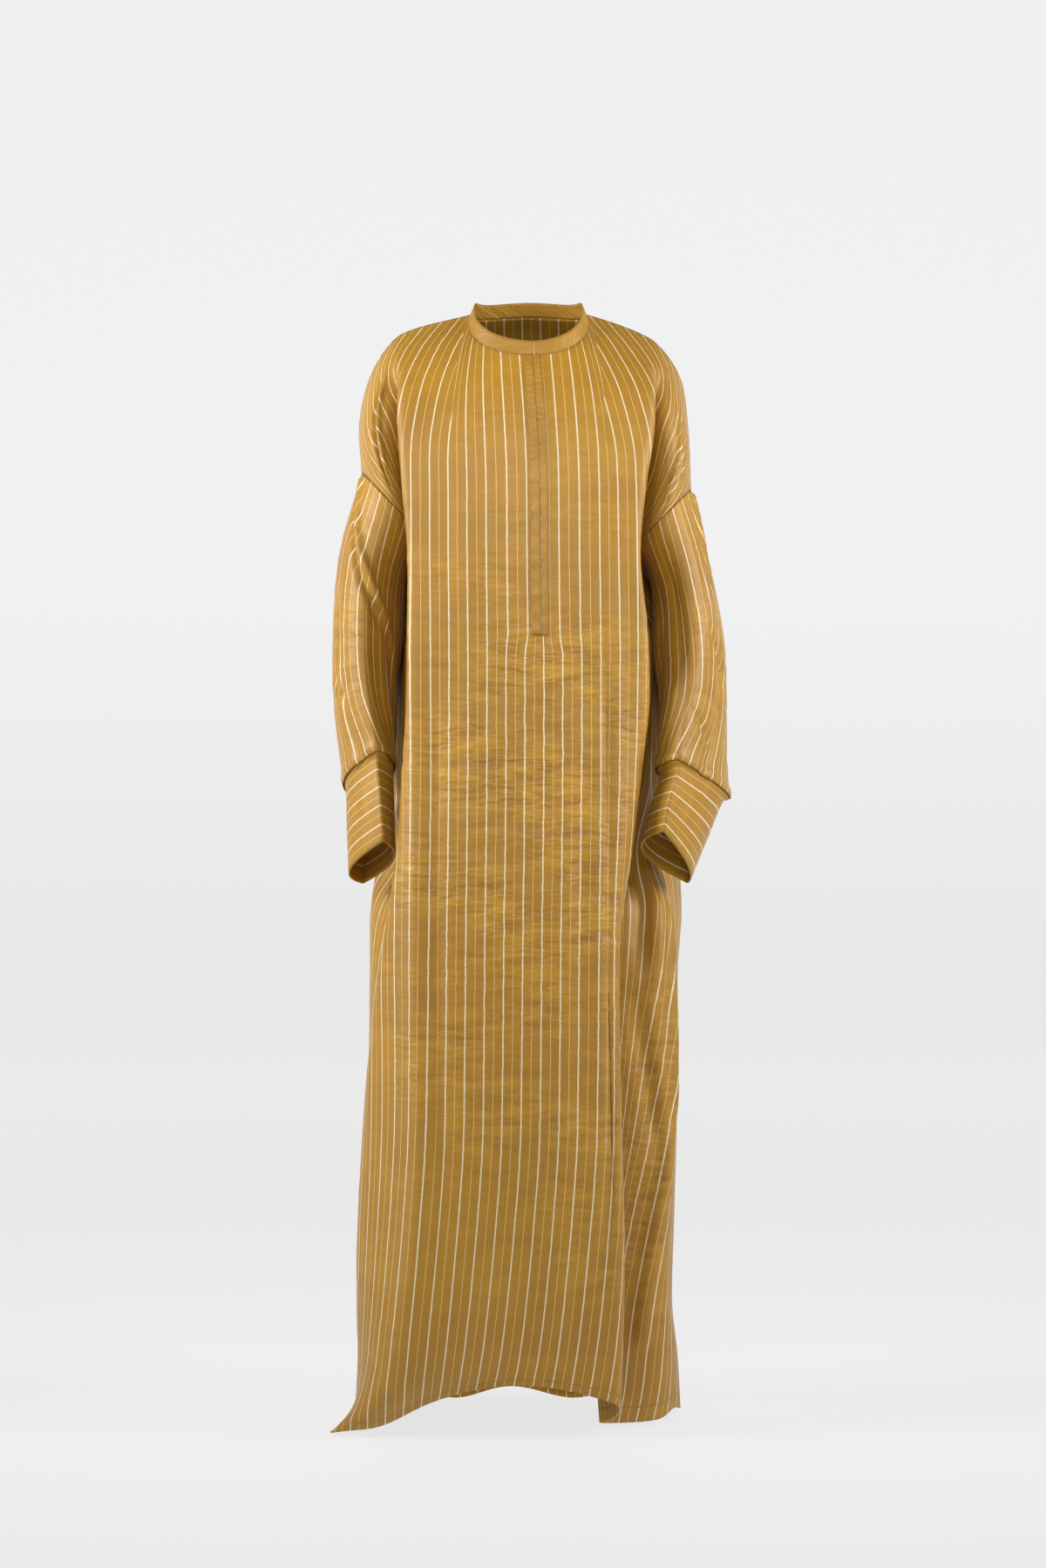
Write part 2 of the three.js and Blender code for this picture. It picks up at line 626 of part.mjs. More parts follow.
// Seam normals are shared by the pieces that meet there, so their ends lie face to face.
function shareSeams() {
  for (const [name, side] of Object.entries(SIDES)) {
    const edge = side.sign < 0 ? 0 : EAST;
    const inside = side.sign < 0 ? 1 : EAST - 1;
    const sleeve = sleeves[name];
    const rings = ARMHOLE_ROWS * 2;
    for (let i = 0; i <= GRID_ROWS; i++) {
      const onArm = i <= ARMHOLE_ROWS;
      if (!onArm) {
        const acrossWay = sub(backGrid[i][inside], frontGrid[i][inside]);
        const downWay = sub(frontGrid[Math.min(GRID_ROWS, i + 1)][edge], frontGrid[i - 1][edge]);
        const shared = unit(cross(acrossWay, downWay)).map((v) => -v * side.sign);
        frontNormals[i][edge] = shared;
        backNormals[i][edge] = shared;
        continue;
      }
      const frontTurn = i;
      const backTurn = (rings - i) % rings;
      const shared = (own, turn) => unit(add(own, sleeve.normals[0][turn]));
      frontNormals[i][edge] = shared(frontNormals[i][edge], frontTurn);
      backNormals[i][edge] = shared(backNormals[i][edge], backTurn);
      if (i === 0) {
        const top = unit(add(frontNormals[0][edge], backNormals[0][edge]));
        frontNormals[0][edge] = top;
        backNormals[0][edge] = top;
      }
      if (i === ARMHOLE_ROWS) {
        frontNormals[i][edge] = [0, 0, -1];
        backNormals[i][edge] = [0, 0, -1];
      }
      sleeve.normals[0][frontTurn] = frontNormals[i][edge];
      sleeve.normals[0][backTurn] = backNormals[i][edge];
    }
  }
  for (let j = 0; j <= EAST; j++) {
    const isShoulder = j >= NECK_EAST || j <= EAST - NECK_EAST;
    if (!isShoulder || j === 0 || j === EAST) continue;
    const shared = unit(add(frontNormals[0][j], backNormals[0][j]));
    frontNormals[0][j] = shared;
    backNormals[0][j] = shared;
  }
}
shareSeams();

// The neckband stands on the neckline, from the opening's left edge round the back to its right.
const neckStops = [];
for (let j = MIDDLE; j <= NECK_EAST; j++) neckStops.push([frontGrid, frontNormals, j]);
for (let j = NECK_EAST - 1; j > EAST - NECK_EAST; j--) neckStops.push([backGrid, backNormals, j]);
for (let j = EAST - NECK_EAST; j < MIDDLE; j++) neckStops.push([frontGrid, frontNormals, j]);
const neckline = neckStops.map(([grid, , j]) => grid[0][j]);
const bandTop = neckline.map((p) => {
  const up = unit([-0.1 * p[0], -2 - 0.1 * (p[1] + 20), NECKBAND_HEIGHT]);
  return add(p, up, NECKBAND_HEIGHT);
});
const band = [bandTop, neckline];
const bandNormals = gridNormals(band, -1);
neckStops.forEach(([, normals, j], k) => {
  const shared = unit(add(bandNormals[1][k], normals[0][j]));
  bandNormals[1][k] = shared;
  normals[0][j] = shared;
});
backNormals[0][NECK_EAST] = frontNormals[0][NECK_EAST];
backNormals[0][EAST - NECK_EAST] = frontNormals[0][EAST - NECK_EAST];

// Panels, with the opening left between the two middle columns of the front
const half = SEAM_GAP / 2;
const openingRows = frontGrid.findIndex((row) => Math.abs(row[MIDDLE][2] - OPENING_END) < 1);
const frontCut = pullBack(frontGrid, { top: half, sides: half });
const backCut = pullBack(backGrid, { top: half, sides: half });
const isOpen = (i, j) => j === MIDDLE - 1 && i < openingRows;
addPiece("front", wall(frontCut, frontNormals, PANEL_WALL, { isOpen }));
addPiece("back", wall(backCut, backNormals, PANEL_WALL));
addPiece("neckband", wall(pullBack(band, { bottom: half }), bandNormals, PANEL_WALL));

// The two strips lie on the front, one each side of the opening.
const stripLift = (PANEL_WALL + STRIP_WALL) / 2 + 0.3;
for (const [name, first] of [["right", MIDDLE - 2], ["left", MIDDLE]]) {
  const onFront = (rows) => rows.slice(0, openingRows + 1).map((row) => row.slice(first, first + 2));
  const normals = onFront(frontNormals);
  const grid = onFront(frontCut).map((row, i) => row.map((p, j) => add(p, normals[i][j], stripLift)));
  addPiece(`opening_strip_${name}`, wall(grid, normals, STRIP_WALL));
}

// Sleeves, and cuffs whose tops lie inside them
for (const [name, side] of Object.entries(SIDES)) {
  const { grid, normals } = sleeves[name];
  addPiece(`sleeve_${name}`, wall(pullBack(grid, { top: half }), normals, PANEL_WALL, { ringed: true }));
  const [above, end] = grid.slice(-2);
  const inward = normals.at(-1);
  const inside = (share) => end.map((p, j) => add(mix(p, above[j], share), inward[j], -CUFF_INSET));
  const free = side.cuff.map((ring) =>
    end.map((_, j) => place(ringPoint(ring, (Math.PI * j) / ARMHOLE_ROWS), side.sign)),
  );
  const cuff = [inside(CUFF_TUCK / size(sub(above[0], end[0]))), inside(0), ...free];
  addPiece(`cuff_${name}`, wall(cuff, gridNormals(cuff, side.sign, true), CUFF_WALL, { ringed: true }));
}

export default abaya;
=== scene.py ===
import math

import bmesh
import bpy
import numpy as np
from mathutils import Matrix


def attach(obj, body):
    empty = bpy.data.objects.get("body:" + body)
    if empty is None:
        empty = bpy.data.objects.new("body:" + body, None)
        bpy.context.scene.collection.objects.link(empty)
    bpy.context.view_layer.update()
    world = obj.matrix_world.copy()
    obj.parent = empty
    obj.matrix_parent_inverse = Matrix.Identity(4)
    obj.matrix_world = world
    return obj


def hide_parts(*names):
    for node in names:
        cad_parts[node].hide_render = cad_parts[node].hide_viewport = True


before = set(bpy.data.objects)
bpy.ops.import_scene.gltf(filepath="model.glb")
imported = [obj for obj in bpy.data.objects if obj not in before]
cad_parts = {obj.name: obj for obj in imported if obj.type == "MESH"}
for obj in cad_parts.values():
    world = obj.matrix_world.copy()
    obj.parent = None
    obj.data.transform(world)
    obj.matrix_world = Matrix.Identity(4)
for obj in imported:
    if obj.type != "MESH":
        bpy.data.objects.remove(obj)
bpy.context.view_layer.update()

# Camera, at the photograph's viewing angle
CAMERA_DISTANCE = 5.2
CAMERA_X = -0.0068
CAMERA_HEIGHT = -0.612
LENS = 91.84
SENSOR_WIDTH = 36.0
camera_data = bpy.data.cameras.new("camera")
camera_data.lens = LENS
camera_data.sensor_width = SENSOR_WIDTH
camera = bpy.data.objects.new("camera", camera_data)
camera.location = (CAMERA_X, -CAMERA_DISTANCE, CAMERA_HEIGHT)
camera.rotation_euler = (math.radians(90), 0, 0)
bpy.context.scene.collection.objects.link(camera)
bpy.context.scene.camera = camera

# Driving sizes
FLOOR = -1437
NECK_HALF = 108.0  # from the centre to the neck's side, along the shoulder
NECK_HALF_SHARE = 0.88  # how much of that the neckline takes
FRONT_NECK_DROP = 88
BACK_NECK_DROP = 24
NECKBAND_HEIGHT = 20
ARMHOLE_DEPTH = 233
ARMHOLE_REACH = 88
OPENING_HALF = 0.6
STRIP_EDGE = 10.4  # how far the opening strips reach from the centre
CUFF_TUCK = 7  # how much of a cuff is inside its sleeve, and how far inside
CUFF_INSET = 3.2
PANEL_WALL = 1.3
CUFF_WALL = 2.2
STRIP_WALL = 0.9
STRIPE_REPEAT = 24.0


def table(columns, rows):
    """Rows with named columns; a row may leave out its last ones."""
    return [dict(zip(columns, row)) for row in rows]


STATIONS = ["ridge", "brim", "valley", "bulge", "cap", "edge"]  # from the centre to the side seam
RING_COLUMNS = ("centre", "outer", "front", "inner")
FOLD_COLUMNS = ("name", "across", "drop", "width", "depth", "ends", "bend")
PATCH_COLUMNS = ("name", "across", "drop", "reach", "strength")
ARMHOLE_ROWS = 4  # the tables' rows from the shoulder line down to the underarm

# The centre line, shared by both halves: a row for each level, (x, y, z).
CENTRE = table(("level", "front", "back"), [
    ("shoulder", (0, -2, 14), (0, 2, 14)),
    ("collar", (3, -60, -38), (1, 54, -30)),
    ("chest", (7, -98, -90), (3, 86, -86)),
    ("bust", (11, -122, -146), (5, 102, -146)),
    ("underarm", (14, -134, -206), (6, 110, -206)),
    ("rib", (15, -141, -320), (7, 114, -320)),
    ("waist", (16, -145, -424), (7, 116, -420)),
    ("belly", (16, -149, -510), (7, 120, -510)),
    ("hip", (16, -153, -600), (7, 128, -600)),
    ("wrist", (15, -157, -700), (6, 138, -700)),
    ("hand", (14, -160, -775), (5, 146, -775)),
    ("thigh", (13, -162, -860), (4, 152, -860)),
    ("knee", (12, -164, -960), (2, 160, -960)),
    ("calf", (10, -166, -1070), (0, 168, -1070)),
    ("shin", (2, -167, -1180), (-4, 176, -1180)),
    ("ankle", (-9, -166, -1290), (-8, 184, -1290)),
    ("heel", (-16, -163, -1340), (-10, 190, -1350)),
    ("hem", (-22, -160, -1370), (-12, 204, -1434)),
])


def stations(rows, first=0):
    """Half a panel: a row for each level from the first, a column for each station, (out, y, z).

    A station with no z is level with the back's centre line."""
    heights = [row["back"][2] for row in CENTRE[first:]]
    return table(STATIONS, [[(*p, z)[:3] for p in row] for row, z in zip(rows, heights)])


RIGHT_FRONT = stations([
    ((85, 0, -5), (148, 0, -21), (172, 0, -33), (203, 0, -78), (219, 2, -142)),
    ((98, -50, -46), (160, -42, -58), (178, -40, -72), (196, -50, -108), (211, -55, -160)),
    ((105, -90, -98), (166, -84, -106), (160, -62, -116), (181, -78, -144), (192, -88, -192)),
    ((110, -112, -154), (165, -106, -160), (152, -62, -172), (168, -76, -204), (164, -78, -238)),
    ((112, -124, -212), (161, -114, -220), (132, -50, -232), (150, -54, -256), (135, -22, -280)),
    ((112, -133), (153, -122), (110, -72), (134, -42), (127, -18), (122, 2)),
    ((112, -138), (150, -127), (112, -76), (156, -44), (153, -18), (150, 6)),
    ((114, -143), (153, -130), (114, -80), (159, -44), (156, -18), (152, 8)),
    ((120, -149), (160, -132), (118, -80), (160, -42), (158, -12), (156, 14)),
    ((130, -157), (166, -134), (134, -72), (166, 22), (192, 46), (194, 56)),
    ((130, -161), (177, -130), (163, -66), (196, 0), (205, 28), (202, 58)),
    ((128, -165), (191, -118), (184, -70), (202, -14), (206, 18), (205, 50)),
    ((129, -168), (199, -106), (201, -72), (205, -24), (207, 12), (206, 46)),
    ((134, -172), (206, -100), (210, -62), (212, -20), (212, 14), (209, 46)),
    ((143, -177), (213, -96), (216, -60), (219, -16), (219, 18), (214, 48)),
    ((162, -180), (217, -94), (218, -60), (222, -10), (222, 22), (217, 52)),
    ((184, -172, -1358), (216, -96, -1352), (212, -62, -1352),
     (219, -6, -1352), (222, 26, -1352), (218, 56, -1352)),
    ((251, -118, -1435), (222, -72), (208, -48, -1432), (216, 4, -1428), (226, 32, -1430), (224, 62)),
])
LEFT_FRONT = stations([
    ((85, 0, -5), (146, 0, -27), (168, 0, -41), (197, 0, -84), (208, 2, -156)),
    ((98, -50, -46), (155, -42, -64), (173, -40, -80), (189, -50, -116), (203, -55, -176)),
    ((105, -90, -98), (161, -84, -108), (156, -60, -118), (175, -78, -150), (187, -88, -208)),
    ((108, -112, -154), (159, -104, -162), (148, -58, -174), (165, -76, -212), (162, -78, -252)),
    ((106, -126, -212), (150, -116, -222), (128, -48, -234), (150, -54, -266), (135, -22, -292)),
    ((100, -136), (142, -126), (96, -74), (134, -42), (127, -18), (122, 2)),
    ((97, -143), (151, -128), (98, -80), (156, -44), (153, -18), (149, 6)),
    ((96, -149), (153, -127), (98, -84), (158, -44), (155, -16), (151, 8)),
    ((100, -155), (143, -126), (92, -84), (156, -42), (156, -8), (154, 16)),
    ((103, -160), (131, -128), (84, -82), (156, -20), (182, 24), (192, 52)),
    ((105, -162), (119, -124), (80, -84), (166, -62), (192, -2), (198, 30)),
    ((107, -163), (112, -122), (78, -86), (168, -72), (188, -32), (192, 2)),
    ((110, -164), (111, -118), (80, -86), (174, -68), (188, -36), (191, -8)),
    ((113, -165), (112, -116), (82, -84), (176, -62), (188, -36), (191, -10)),
    ((116, -166), (113, -114), (84, -84), (175, -60), (185, -36), (188, -10)),
    ((115, -166), (112, -114), (86, -84), (170, -60), (182, -36), (186, -8)),
    ((114, -164, -1345), (110, -112, -1352), (88, -84, -1356),
     (170, -60, -1352), (187, -32), (193, -4, -1352)),
    ((111, -160, -1395), (107, -112, -1420), (92, -78, -1430),
     (168, -46, -1430), (188, -20, -1420), (197, 6, -1424)),
])

# The back halves, both mirrored from one table. Its shoulder row and its edge are the front's.
BACK = stations([
    ((98, 48, -42), (156, 40, -58), (174, 38, -74), (193, 50, -110), (207, 56, -166)),
    ((105, 82, -94), (161, 74, -104), (160, 58, -116), (177, 76, -146), (189, 88, -200)),
    ((108, 96, -152), (158, 86, -160), (150, 58, -172), (166, 76, -208), (163, 78, -245)),
    ((108, 103, -212), (152, 90, -220), (130, 48, -236), (148, 54, -256), (134, 22, -279)),
    ((96, 112), (130, 102, -326), (122, 82, -336), (142, 80, -345), (131, 34, -330)),
    ((98, 117), (142, 108), (136, 84), (174, 94), (168, 48)),
    ((100, 124), (150, 114), (144, 90), (179, 92), (172, 50)),
    ((102, 134), (156, 122), (152, 100), (185, 92), (178, 56)),
    ((98, 137), (158, 128), (174, 110), (187, 96), (195, 80)),
    ((102, 145), (160, 138), (182, 120), (196, 104), (201, 84)),
    ((102, 151), (160, 144), (184, 124), (197, 104), (201, 76)),
    ((104, 159), (162, 150), (186, 130), (199, 106), (202, 72)),
    ((106, 167), (166, 158), (190, 136), (202, 108), (205, 72)),
    ((108, 175), (170, 165), (194, 142), (205, 112), (207, 74)),
    ((110, 183), (173, 172), (197, 148), (207, 116), (208, 78)),
    ((112, 189), (176, 177), (200, 153), (210, 120), (211, 82)),
    ((116, 202), (184, 188), (210, 162), (220, 128), (220, 90)),
], 1)

# Each side: its sign along X, the outermost and innermost points of its armhole, how far out its
# back lies at some levels as a share of the table, and its sleeve.
# Sleeve and cuff rows give a ring's centre and the reach from it to the outer side, the front
# crease and the inner side; the back crease lies opposite the front one.
SIDES = {
    "right": dict(
        sign=-1, front=RIGHT_FRONT, shoulder_point=(216, 4, -208), underarm=(138, 0, -292), back_share={},
        sleeve=table(RING_COLUMNS, [
            ((203, -3, -338), (42, 0, 22), (0, -90, 6), (-37, 0, -22)),
            ((210, -9, -430), (43, 0, 8), (0, -90, 14), (-41, 0, -8)),
            ((208, -27, -520), (42, 0, 0), (-2, -85, 24), (-38, 0, -4)),
            ((203, -58, -598), (34, 3, -10), (-11, -64, 28), (-31, -3, 4)),
        ]),
        cuff=table(RING_COLUMNS, [
            ((201, -64, -658), (30, -2, -8), (-13, -60, 28), (-27, 3, 4)),
            ((199, -70, -713), (29, -6, -8), (-15, -56, 28), (-26, 8, 4)),
        ]),
    ),
    "left": dict(
        sign=1, front=LEFT_FRONT, shoulder_point=(211, 4, -230), underarm=(138, 0, -305),
        back_share=dict(thigh=0.975, knee=0.98, calf=0.946, shin=0.923, ankle=0.904, heel=0.905, hem=0.89),
        sleeve=table(RING_COLUMNS, [
            ((202, -4, -350), (33, 0, 22), (0, -90, 6), (-36, 0, -20)),
            ((211, -14, -440), (43, 2, 8), (-3, -92, 16), (-44, -2, -8)),
            ((216, -42, -525), (39, 8, -2), (-13, -88, 26), (-46, -6, 0)),
            ((222, -84, -606), (24, 0, -10), (-33, -62, 25), (-52, 14, 2)),
        ]),
        cuff=table(RING_COLUMNS, [
            ((204, -88, -658), (15, -6, -9), (-25, -58, 28), (-46, 16, 5)),
            ((188, -89, -706), (16, -6, -11), (-17, -56, 34), (-42, 14, 8)),
        ]),
    ),
}

# Folds in the flat cloth. Across and drop say where one starts and ends, as distance from the
# centre line (on a sleeve, from its outer side) and drop from the shoulder line (from the armhole).
# Plus is a ridge and minus a trough. A fold with ends rises over the first share of its length
# and dies away after the second, and one with a bend bows sideways.
BACK_FOLDS = table(FOLD_COLUMNS, [
    ("centre pleat", (6, -14), (240, 1480), (34, 52), (4, 30)),
    ("right inner", (-62, -84), (300, 1480), (26, 44), (3, -28)),
    ("right outer", (-120, -160), (420, 1480), (28, 46), (3, 26)),
    ("left inner", (56, 74), (260, 1480), (26, 44), (3, -26)),
    ("left outer", (112, 150), (380, 1480), (28, 46), (3, 28)),
    ("right yoke", (-150, -112), (60, 420), (14, 20), (0, 6), (0.4, 0.6)),
    ("left yoke", (146, 104), (70, 460), (13, 19), (0, 5), (0.3, 0.6)),
    ("seat drag", (-30, 60), (640, 900), (12, 16), (0, -5), (0.4, 0.6)),
    ("right hem", (-196, -214), (960, 1500), (16, 24), (0, -9), (0.5, 1.2)),
    ("left hem", (188, 230), (880, 1500), (16, 22), (0, -10), (0.5, 1.2)),
    ("right side swell", (-222, -226), (215, 640), (26, 30), (0, 11), (0.25, 0.7)),
    ("right upper swell", (-212, -218), (280, 460), (24, 24), (0, 13), (0.4, 0.6)),
    ("left upper swell", (214, 219), (280, 460), (24, 24), (0, 14), (0.4, 0.6)),
    ("left side swell", (222, 226), (215, 700), (26, 30), (0, 14), (0.2, 0.7)),
])
FRONT_FOLDS = table(FOLD_COLUMNS, [
    ("right light", (-166, -143), (330, 1320), (11, 15), (0, 5), (0.15, 0.85)),
    ("right inner trough", (-134, -110), (430, 1380), (14, 20), (0, -6), (0.25, 0.85), -8),
    ("right knee light", (-84, -28), (860, 1420), (14, 19), (0, 7), (0.4, 1.2)),
    ("right knee shade", (-112, -58), (800, 1420), (13, 18), (0, -6), (0.4, 1.2)),
    ("centre shade", (-44, 4), (900, 1420), (12, 17), (0, -7), (0.35, 1.2)),
    ("centre light", (-10, 40), (740, 1420), (13, 18), (0, 5), (0.4, 1.2), 9),
    ("belly dip", (-34, -22), (450, 760), (17, 20), (0, -4), (0.35, 0.6)),
    ("left light", (58, 70), (500, 1400), (12, 17), (0, 5), (0.3, 0.9), -7),
    ("left shade", (84, 98), (400, 1340), (8, 11), (0, -5), (0.2, 0.85)),
    ("left chest light", (101, 90), (330, 800), (8, 10), (0, 4), (0.3, 0.6)),
    ("right chest", (-104, -92), (150, 560), (12, 16), (0, 4), (0.4, 0.6)),
    ("right arm crease", (-254, -338), (48, 153), (6, 8), (0, -8), (0.3, 0.85)),
    ("right arm ridge", (-240, -318), (60, 150), (6, 8), (0, 5), (0.3, 0.85)),
    ("left arm crease", (276, 356), (52, 140), (6, 8), (0, -9), (0.3, 0.9)),
    ("left arm ridge", (262, 330), (60, 146), (6, 8), (0, 6), (0.3, 0.85)),
    ("left cap crease", (310, 352), (62, 90), (5, 6), (0, -6), (0.3, 0.9)),
    ("right side fold", (-262, -300), (860, 1340), (12, 18), (0, 3), (0.3, 0.8)),
    ("right side trough", (-238, -268), (900, 1400), (11, 16), (0, -8), (0.3, 1.2)),
    ("left hip valley", (267, 254), (730, 900), (8, 10), (0, -12), (0.35, 0.6)),
    ("left hip ridge", (288, 270), (750, 960), (8, 11), (0, 9), (0.3, 0.6)),
    ("left side fold", (301, 316), (765, 1130), (7, 9), (0, 9), (0.2, 0.75)),
    ("left side drag", (246, 300), (900, 1180), (9, 12), (0, -9), (0.3, 0.6)),
    ("left low ridge", (312, 284), (1060, 1375), (9, 12), (0, 9), (0.3, 0.9)),
    ("left low trough", (291, 262), (1060, 1390), (8, 11), (0, -9), (0.3, 1.2)),
    ("left recess", (180, 196), (900, 1420), (14, 18), (0, -9), (0.3, 1.2)),
])
SLEEVE_FOLDS = {
    "right": table(FOLD_COLUMNS, [
        ("pleat", (18, 176), (-6, 220), (5, 11), (0, -8), (0.02, 0.45)),
        ("pleat edge", (34, 194), (-6, 230), (6, 11), (0, 6), (0.05, 0.5)),
        ("front light", (84, 104), (70, 410), (10, 13), (0, 5), (0.25, 1.2)),
        ("front shade", (126, 128), (90, 400), (10, 13), (0, -4), (0.25, 0.85)),
        ("outer shade", (40, 58), (110, 400), (11, 9), (0, -5), (0.3, 0.85), 8),
        ("inner drag", (150, 196), (150, 400), (10, 13), (0, -4), (0.25, 0.8)),
        ("inner swell", (214, 214), (40, 240), (36, 36), (0, 8), (0.4, 0.6)),
        ("elbow", (10, 66), (215, 290), (8, 10), (0, -5), (0.4, 0.6)),
        ("back light", (-70, -88), (30, 400), (12, 14), (0, 6), (0.3, 0.85)),
        ("back shade", (-100, -120), (0, 380), (9, 12), (0, -8), (0.2, 0.8)),
        ("elbow back", (-40, -110), (200, 270), (8, 10), (0, -6), (0.4, 0.6)),
    ]),
    "left": table(FOLD_COLUMNS, [
        ("pleat", (12, 74), (-6, 150), (5, 10), (0, -10), (0.02, 0.4)),
        ("pleat edge", (30, 90), (-6, 190), (6, 10), (0, 6), (0.05, 0.4)),
        ("front light", (98, 92), (40, 410), (9, 12), (0, 5), (0.2, 1.2)),
        ("front shade", (134, 122), (20, 400), (10, 13), (0, -5), (0.2, 0.85)),
        ("outer shade", (56, 46), (150, 400), (10, 9), (0, -5), (0.3, 0.85), -9),
        ("inner drag", (160, 192), (60, 330), (10, 13), (0, -4), (0.25, 0.8)),
        ("inner swell", (214, 214), (40, 240), (36, 36), (0, 8), (0.4, 0.6)),
        ("elbow", (84, 24), (160, 250), (8, 9), (0, -6), (0.35, 0.6)),
        ("forearm", (110, 40), (280, 330), (8, 9), (0, -4), (0.4, 0.6)),
        ("back light", (-66, -84), (40, 400), (12, 14), (0, 6), (0.3, 0.85)),
        ("back shade", (-98, -116), (0, 390), (9, 12), (0, -8), (0.2, 0.8)),
        ("elbow back", (-36, -104), (190, 265), (8, 10), (0, -6), (0.4, 0.6)),
    ]),
}

# Where the cloth is crinkled most: a patch's middle and its reach across and down the flat cloth.
FRONT_CRINKLES = table(PATCH_COLUMNS, [
    ("chest and belly", -6, 610, (140, 230), 0.85),
    ("right thigh", -110, 860, (90, 170), 0.5),
    ("left hip", 70, 830, (80, 150), 0.5),
    ("knees", 36, 1060, (110, 120), 0.6),
    ("left side", 270, 1130, (70, 210), 0.55),
    ("lower left", 80, 1260, (60, 90), 0.3),
])
BACK_CRINKLES = table(PATCH_COLUMNS, [
    ("small of the back", 0, 520, (150, 180), 0.7),
    ("seat", 20, 860, (170, 170), 0.7),
    ("calves", -60, 1180, (150, 150), 0.4),
])
SLEEVE_CRINKLES = table(PATCH_COLUMNS, [
    ("elbow", 60, 220, (120, 90), 0.5),
])
CRINKLE_BASE = 0.22  # how crinkled the rest is
CRINKLE_WIDTH = (13, 36)  # half width and half height of one crinkle
CRINKLE_TALLNESS = (6.0, 10.0)
CRINKLE_BOW = 0.010
CRINKLE_LIFT = 0.6
CRINKLE_MARGIN = 40  # how far past a crinkle's own height rows are still looked at
HEM_SAG = dict(x=-186, reach=46, depth=13, rise=150)  # where the front hem sags to the floor


def unit(a):
    return a / np.maximum(np.linalg.norm(a, axis=-1, keepdims=True), 1e-9)


def between(a, b, c, d, f):
    """A point between b and c on the smooth curve through a, b, c and d."""
    step = lambda p, q: np.maximum(1e-3, np.sqrt(np.linalg.norm(q - p, axis=-1, keepdims=True)))
    t1 = step(a, b)
    t2 = t1 + step(b, c)
    t3 = t2 + step(c, d)
    t = t1 + (t2 - t1) * f
    blend = lambda p, q, low, high: p + (q - p) * (t - low) / (high - low)
    ab, bc, cd = blend(a, b, 0, t1), blend(b, c, t1, t2), blend(c, d, t2, t3)
    return blend(blend(ab, bc, 0, t2), blend(bc, cd, t1, t3), t1, t2)


def along(points, v):
    """The same curve, read at the row numbers v of a list of points."""
    p = np.asarray(points, float)
    padded = np.concatenate([[2 * p[0] - p[1]], p, [2 * p[-1] - p[-2]]])
    k = np.clip(np.floor(v).astype(int), 0, len(p) - 2)
    f = (v - k).reshape(-1, *[1] * (p.ndim - 1))
    return between(padded[k], padded[k + 1], padded[k + 2], padded[k + 3], f)


def placed(p, sign):
    return np.array([p[0] * sign, p[1], p[2]], float)


def armhole(side):
    top, low = np.array(side["shoulder_point"], float), np.array(side["underarm"], float)
    half = (top - low) / 2
    return dict(centre=low + half, outer=half, front=(0, -ARMHOLE_REACH, 0), inner=-half)


def ring_points(ring, turn, sign, press=0.0):
    """A ring's points; a turn of 0 is its outer side and a quarter turn its front crease.

    A press of 0 leaves it round, and a press of 1 folds it sharply at its front and back."""
    c, s = np.cos(turn)[..., None], np.sin(turn)[..., None]
    flat = 1 - np.abs(np.mod(turn / np.pi + 0.5, 2) - 1)[..., None] * 2  # 1 at the front crease
    c = c * (1 - press) + np.sign(c) * (1 - flat * flat) * press
    s = s * (1 - press) + flat * press
    centre, outer, front, inner = (placed(ring[k], sign) for k in ("centre", "outer", "front", "inner"))
    return centre + np.where(c >= 0, outer, inner) * np.abs(c) + front * s


def table_of(side, face):
    if face == "front":
        return side["front"]
    shares = [side["back_share"].get(row["level"], 1) for row in CENTRE]
    return [{name: (out * share, y, z) for name, (out, y, z) in row.items()}
            for row, share in zip([side["front"][0], *BACK], shares)]


def half_stations(name, face):
    """The stations of one half panel at each table row, with one more before and after."""
    side = SIDES[name]
    other = SIDES["left" if name == "right" else "right"]
    own, others = table_of(side, face), table_of(other, face)
    opposite = table_of(side, "back" if face == "front" else "front")
    ring = armhole(side)
    rows = []
    for k, row in enumerate(own):
        turn = math.pi * k / ARMHOLE_ROWS * (1 if face == "front" else -1)
        on_arm = k <= ARMHOLE_ROWS
        points = [placed(row[station], side["sign"]) for station in STATIONS[:-1]]
        if on_arm:
            edge = ring_points(ring, np.array(turn), side["sign"])
            beyond = edge + (edge - points[-1]) * 0.6
        else:
            edge = placed(side["front"][k]["edge"], side["sign"])
            beyond = placed(opposite[k]["cap"], side["sign"])
        rows.append([placed(others[k]["ridge"], other["sign"]), np.array(CENTRE[k][face], float),
                     *points, edge, beyond])
    return np.array(rows)


def half_columns(steps, neck_steps):
    """Columns of a half panel: which span, how far along it, and how deep the neckline cuts."""
    shares = [OPENING_HALF / NECK_HALF, STRIP_EDGE / 2 / NECK_HALF, STRIP_EDGE / NECK_HALF]
    first = math.asin(STRIP_EDGE / NECK_HALF / NECK_HALF_SHARE)
    shares += [NECK_HALF_SHARE * math.sin(first + (math.pi / 2 - first) * i / neck_steps)
               for i in range(1, neck_steps + 1)]
    columns = [(0, s, math.sqrt(max(0.0, 1 - (s / NECK_HALF_SHARE) ** 2))) for s in shares]
    left = max(1, round(steps[0] * (1 - NECK_HALF_SHARE)))
    columns += [(0, NECK_HALF_SHARE + (1 - NECK_HALF_SHARE) * i / left, 0.0) for i in range(1, left + 1)]
    for span in range(1, len(STATIONS)):
        columns += [(span, i / steps[span], 0.0) for i in range(1, steps[span] + 1)]
    return columns


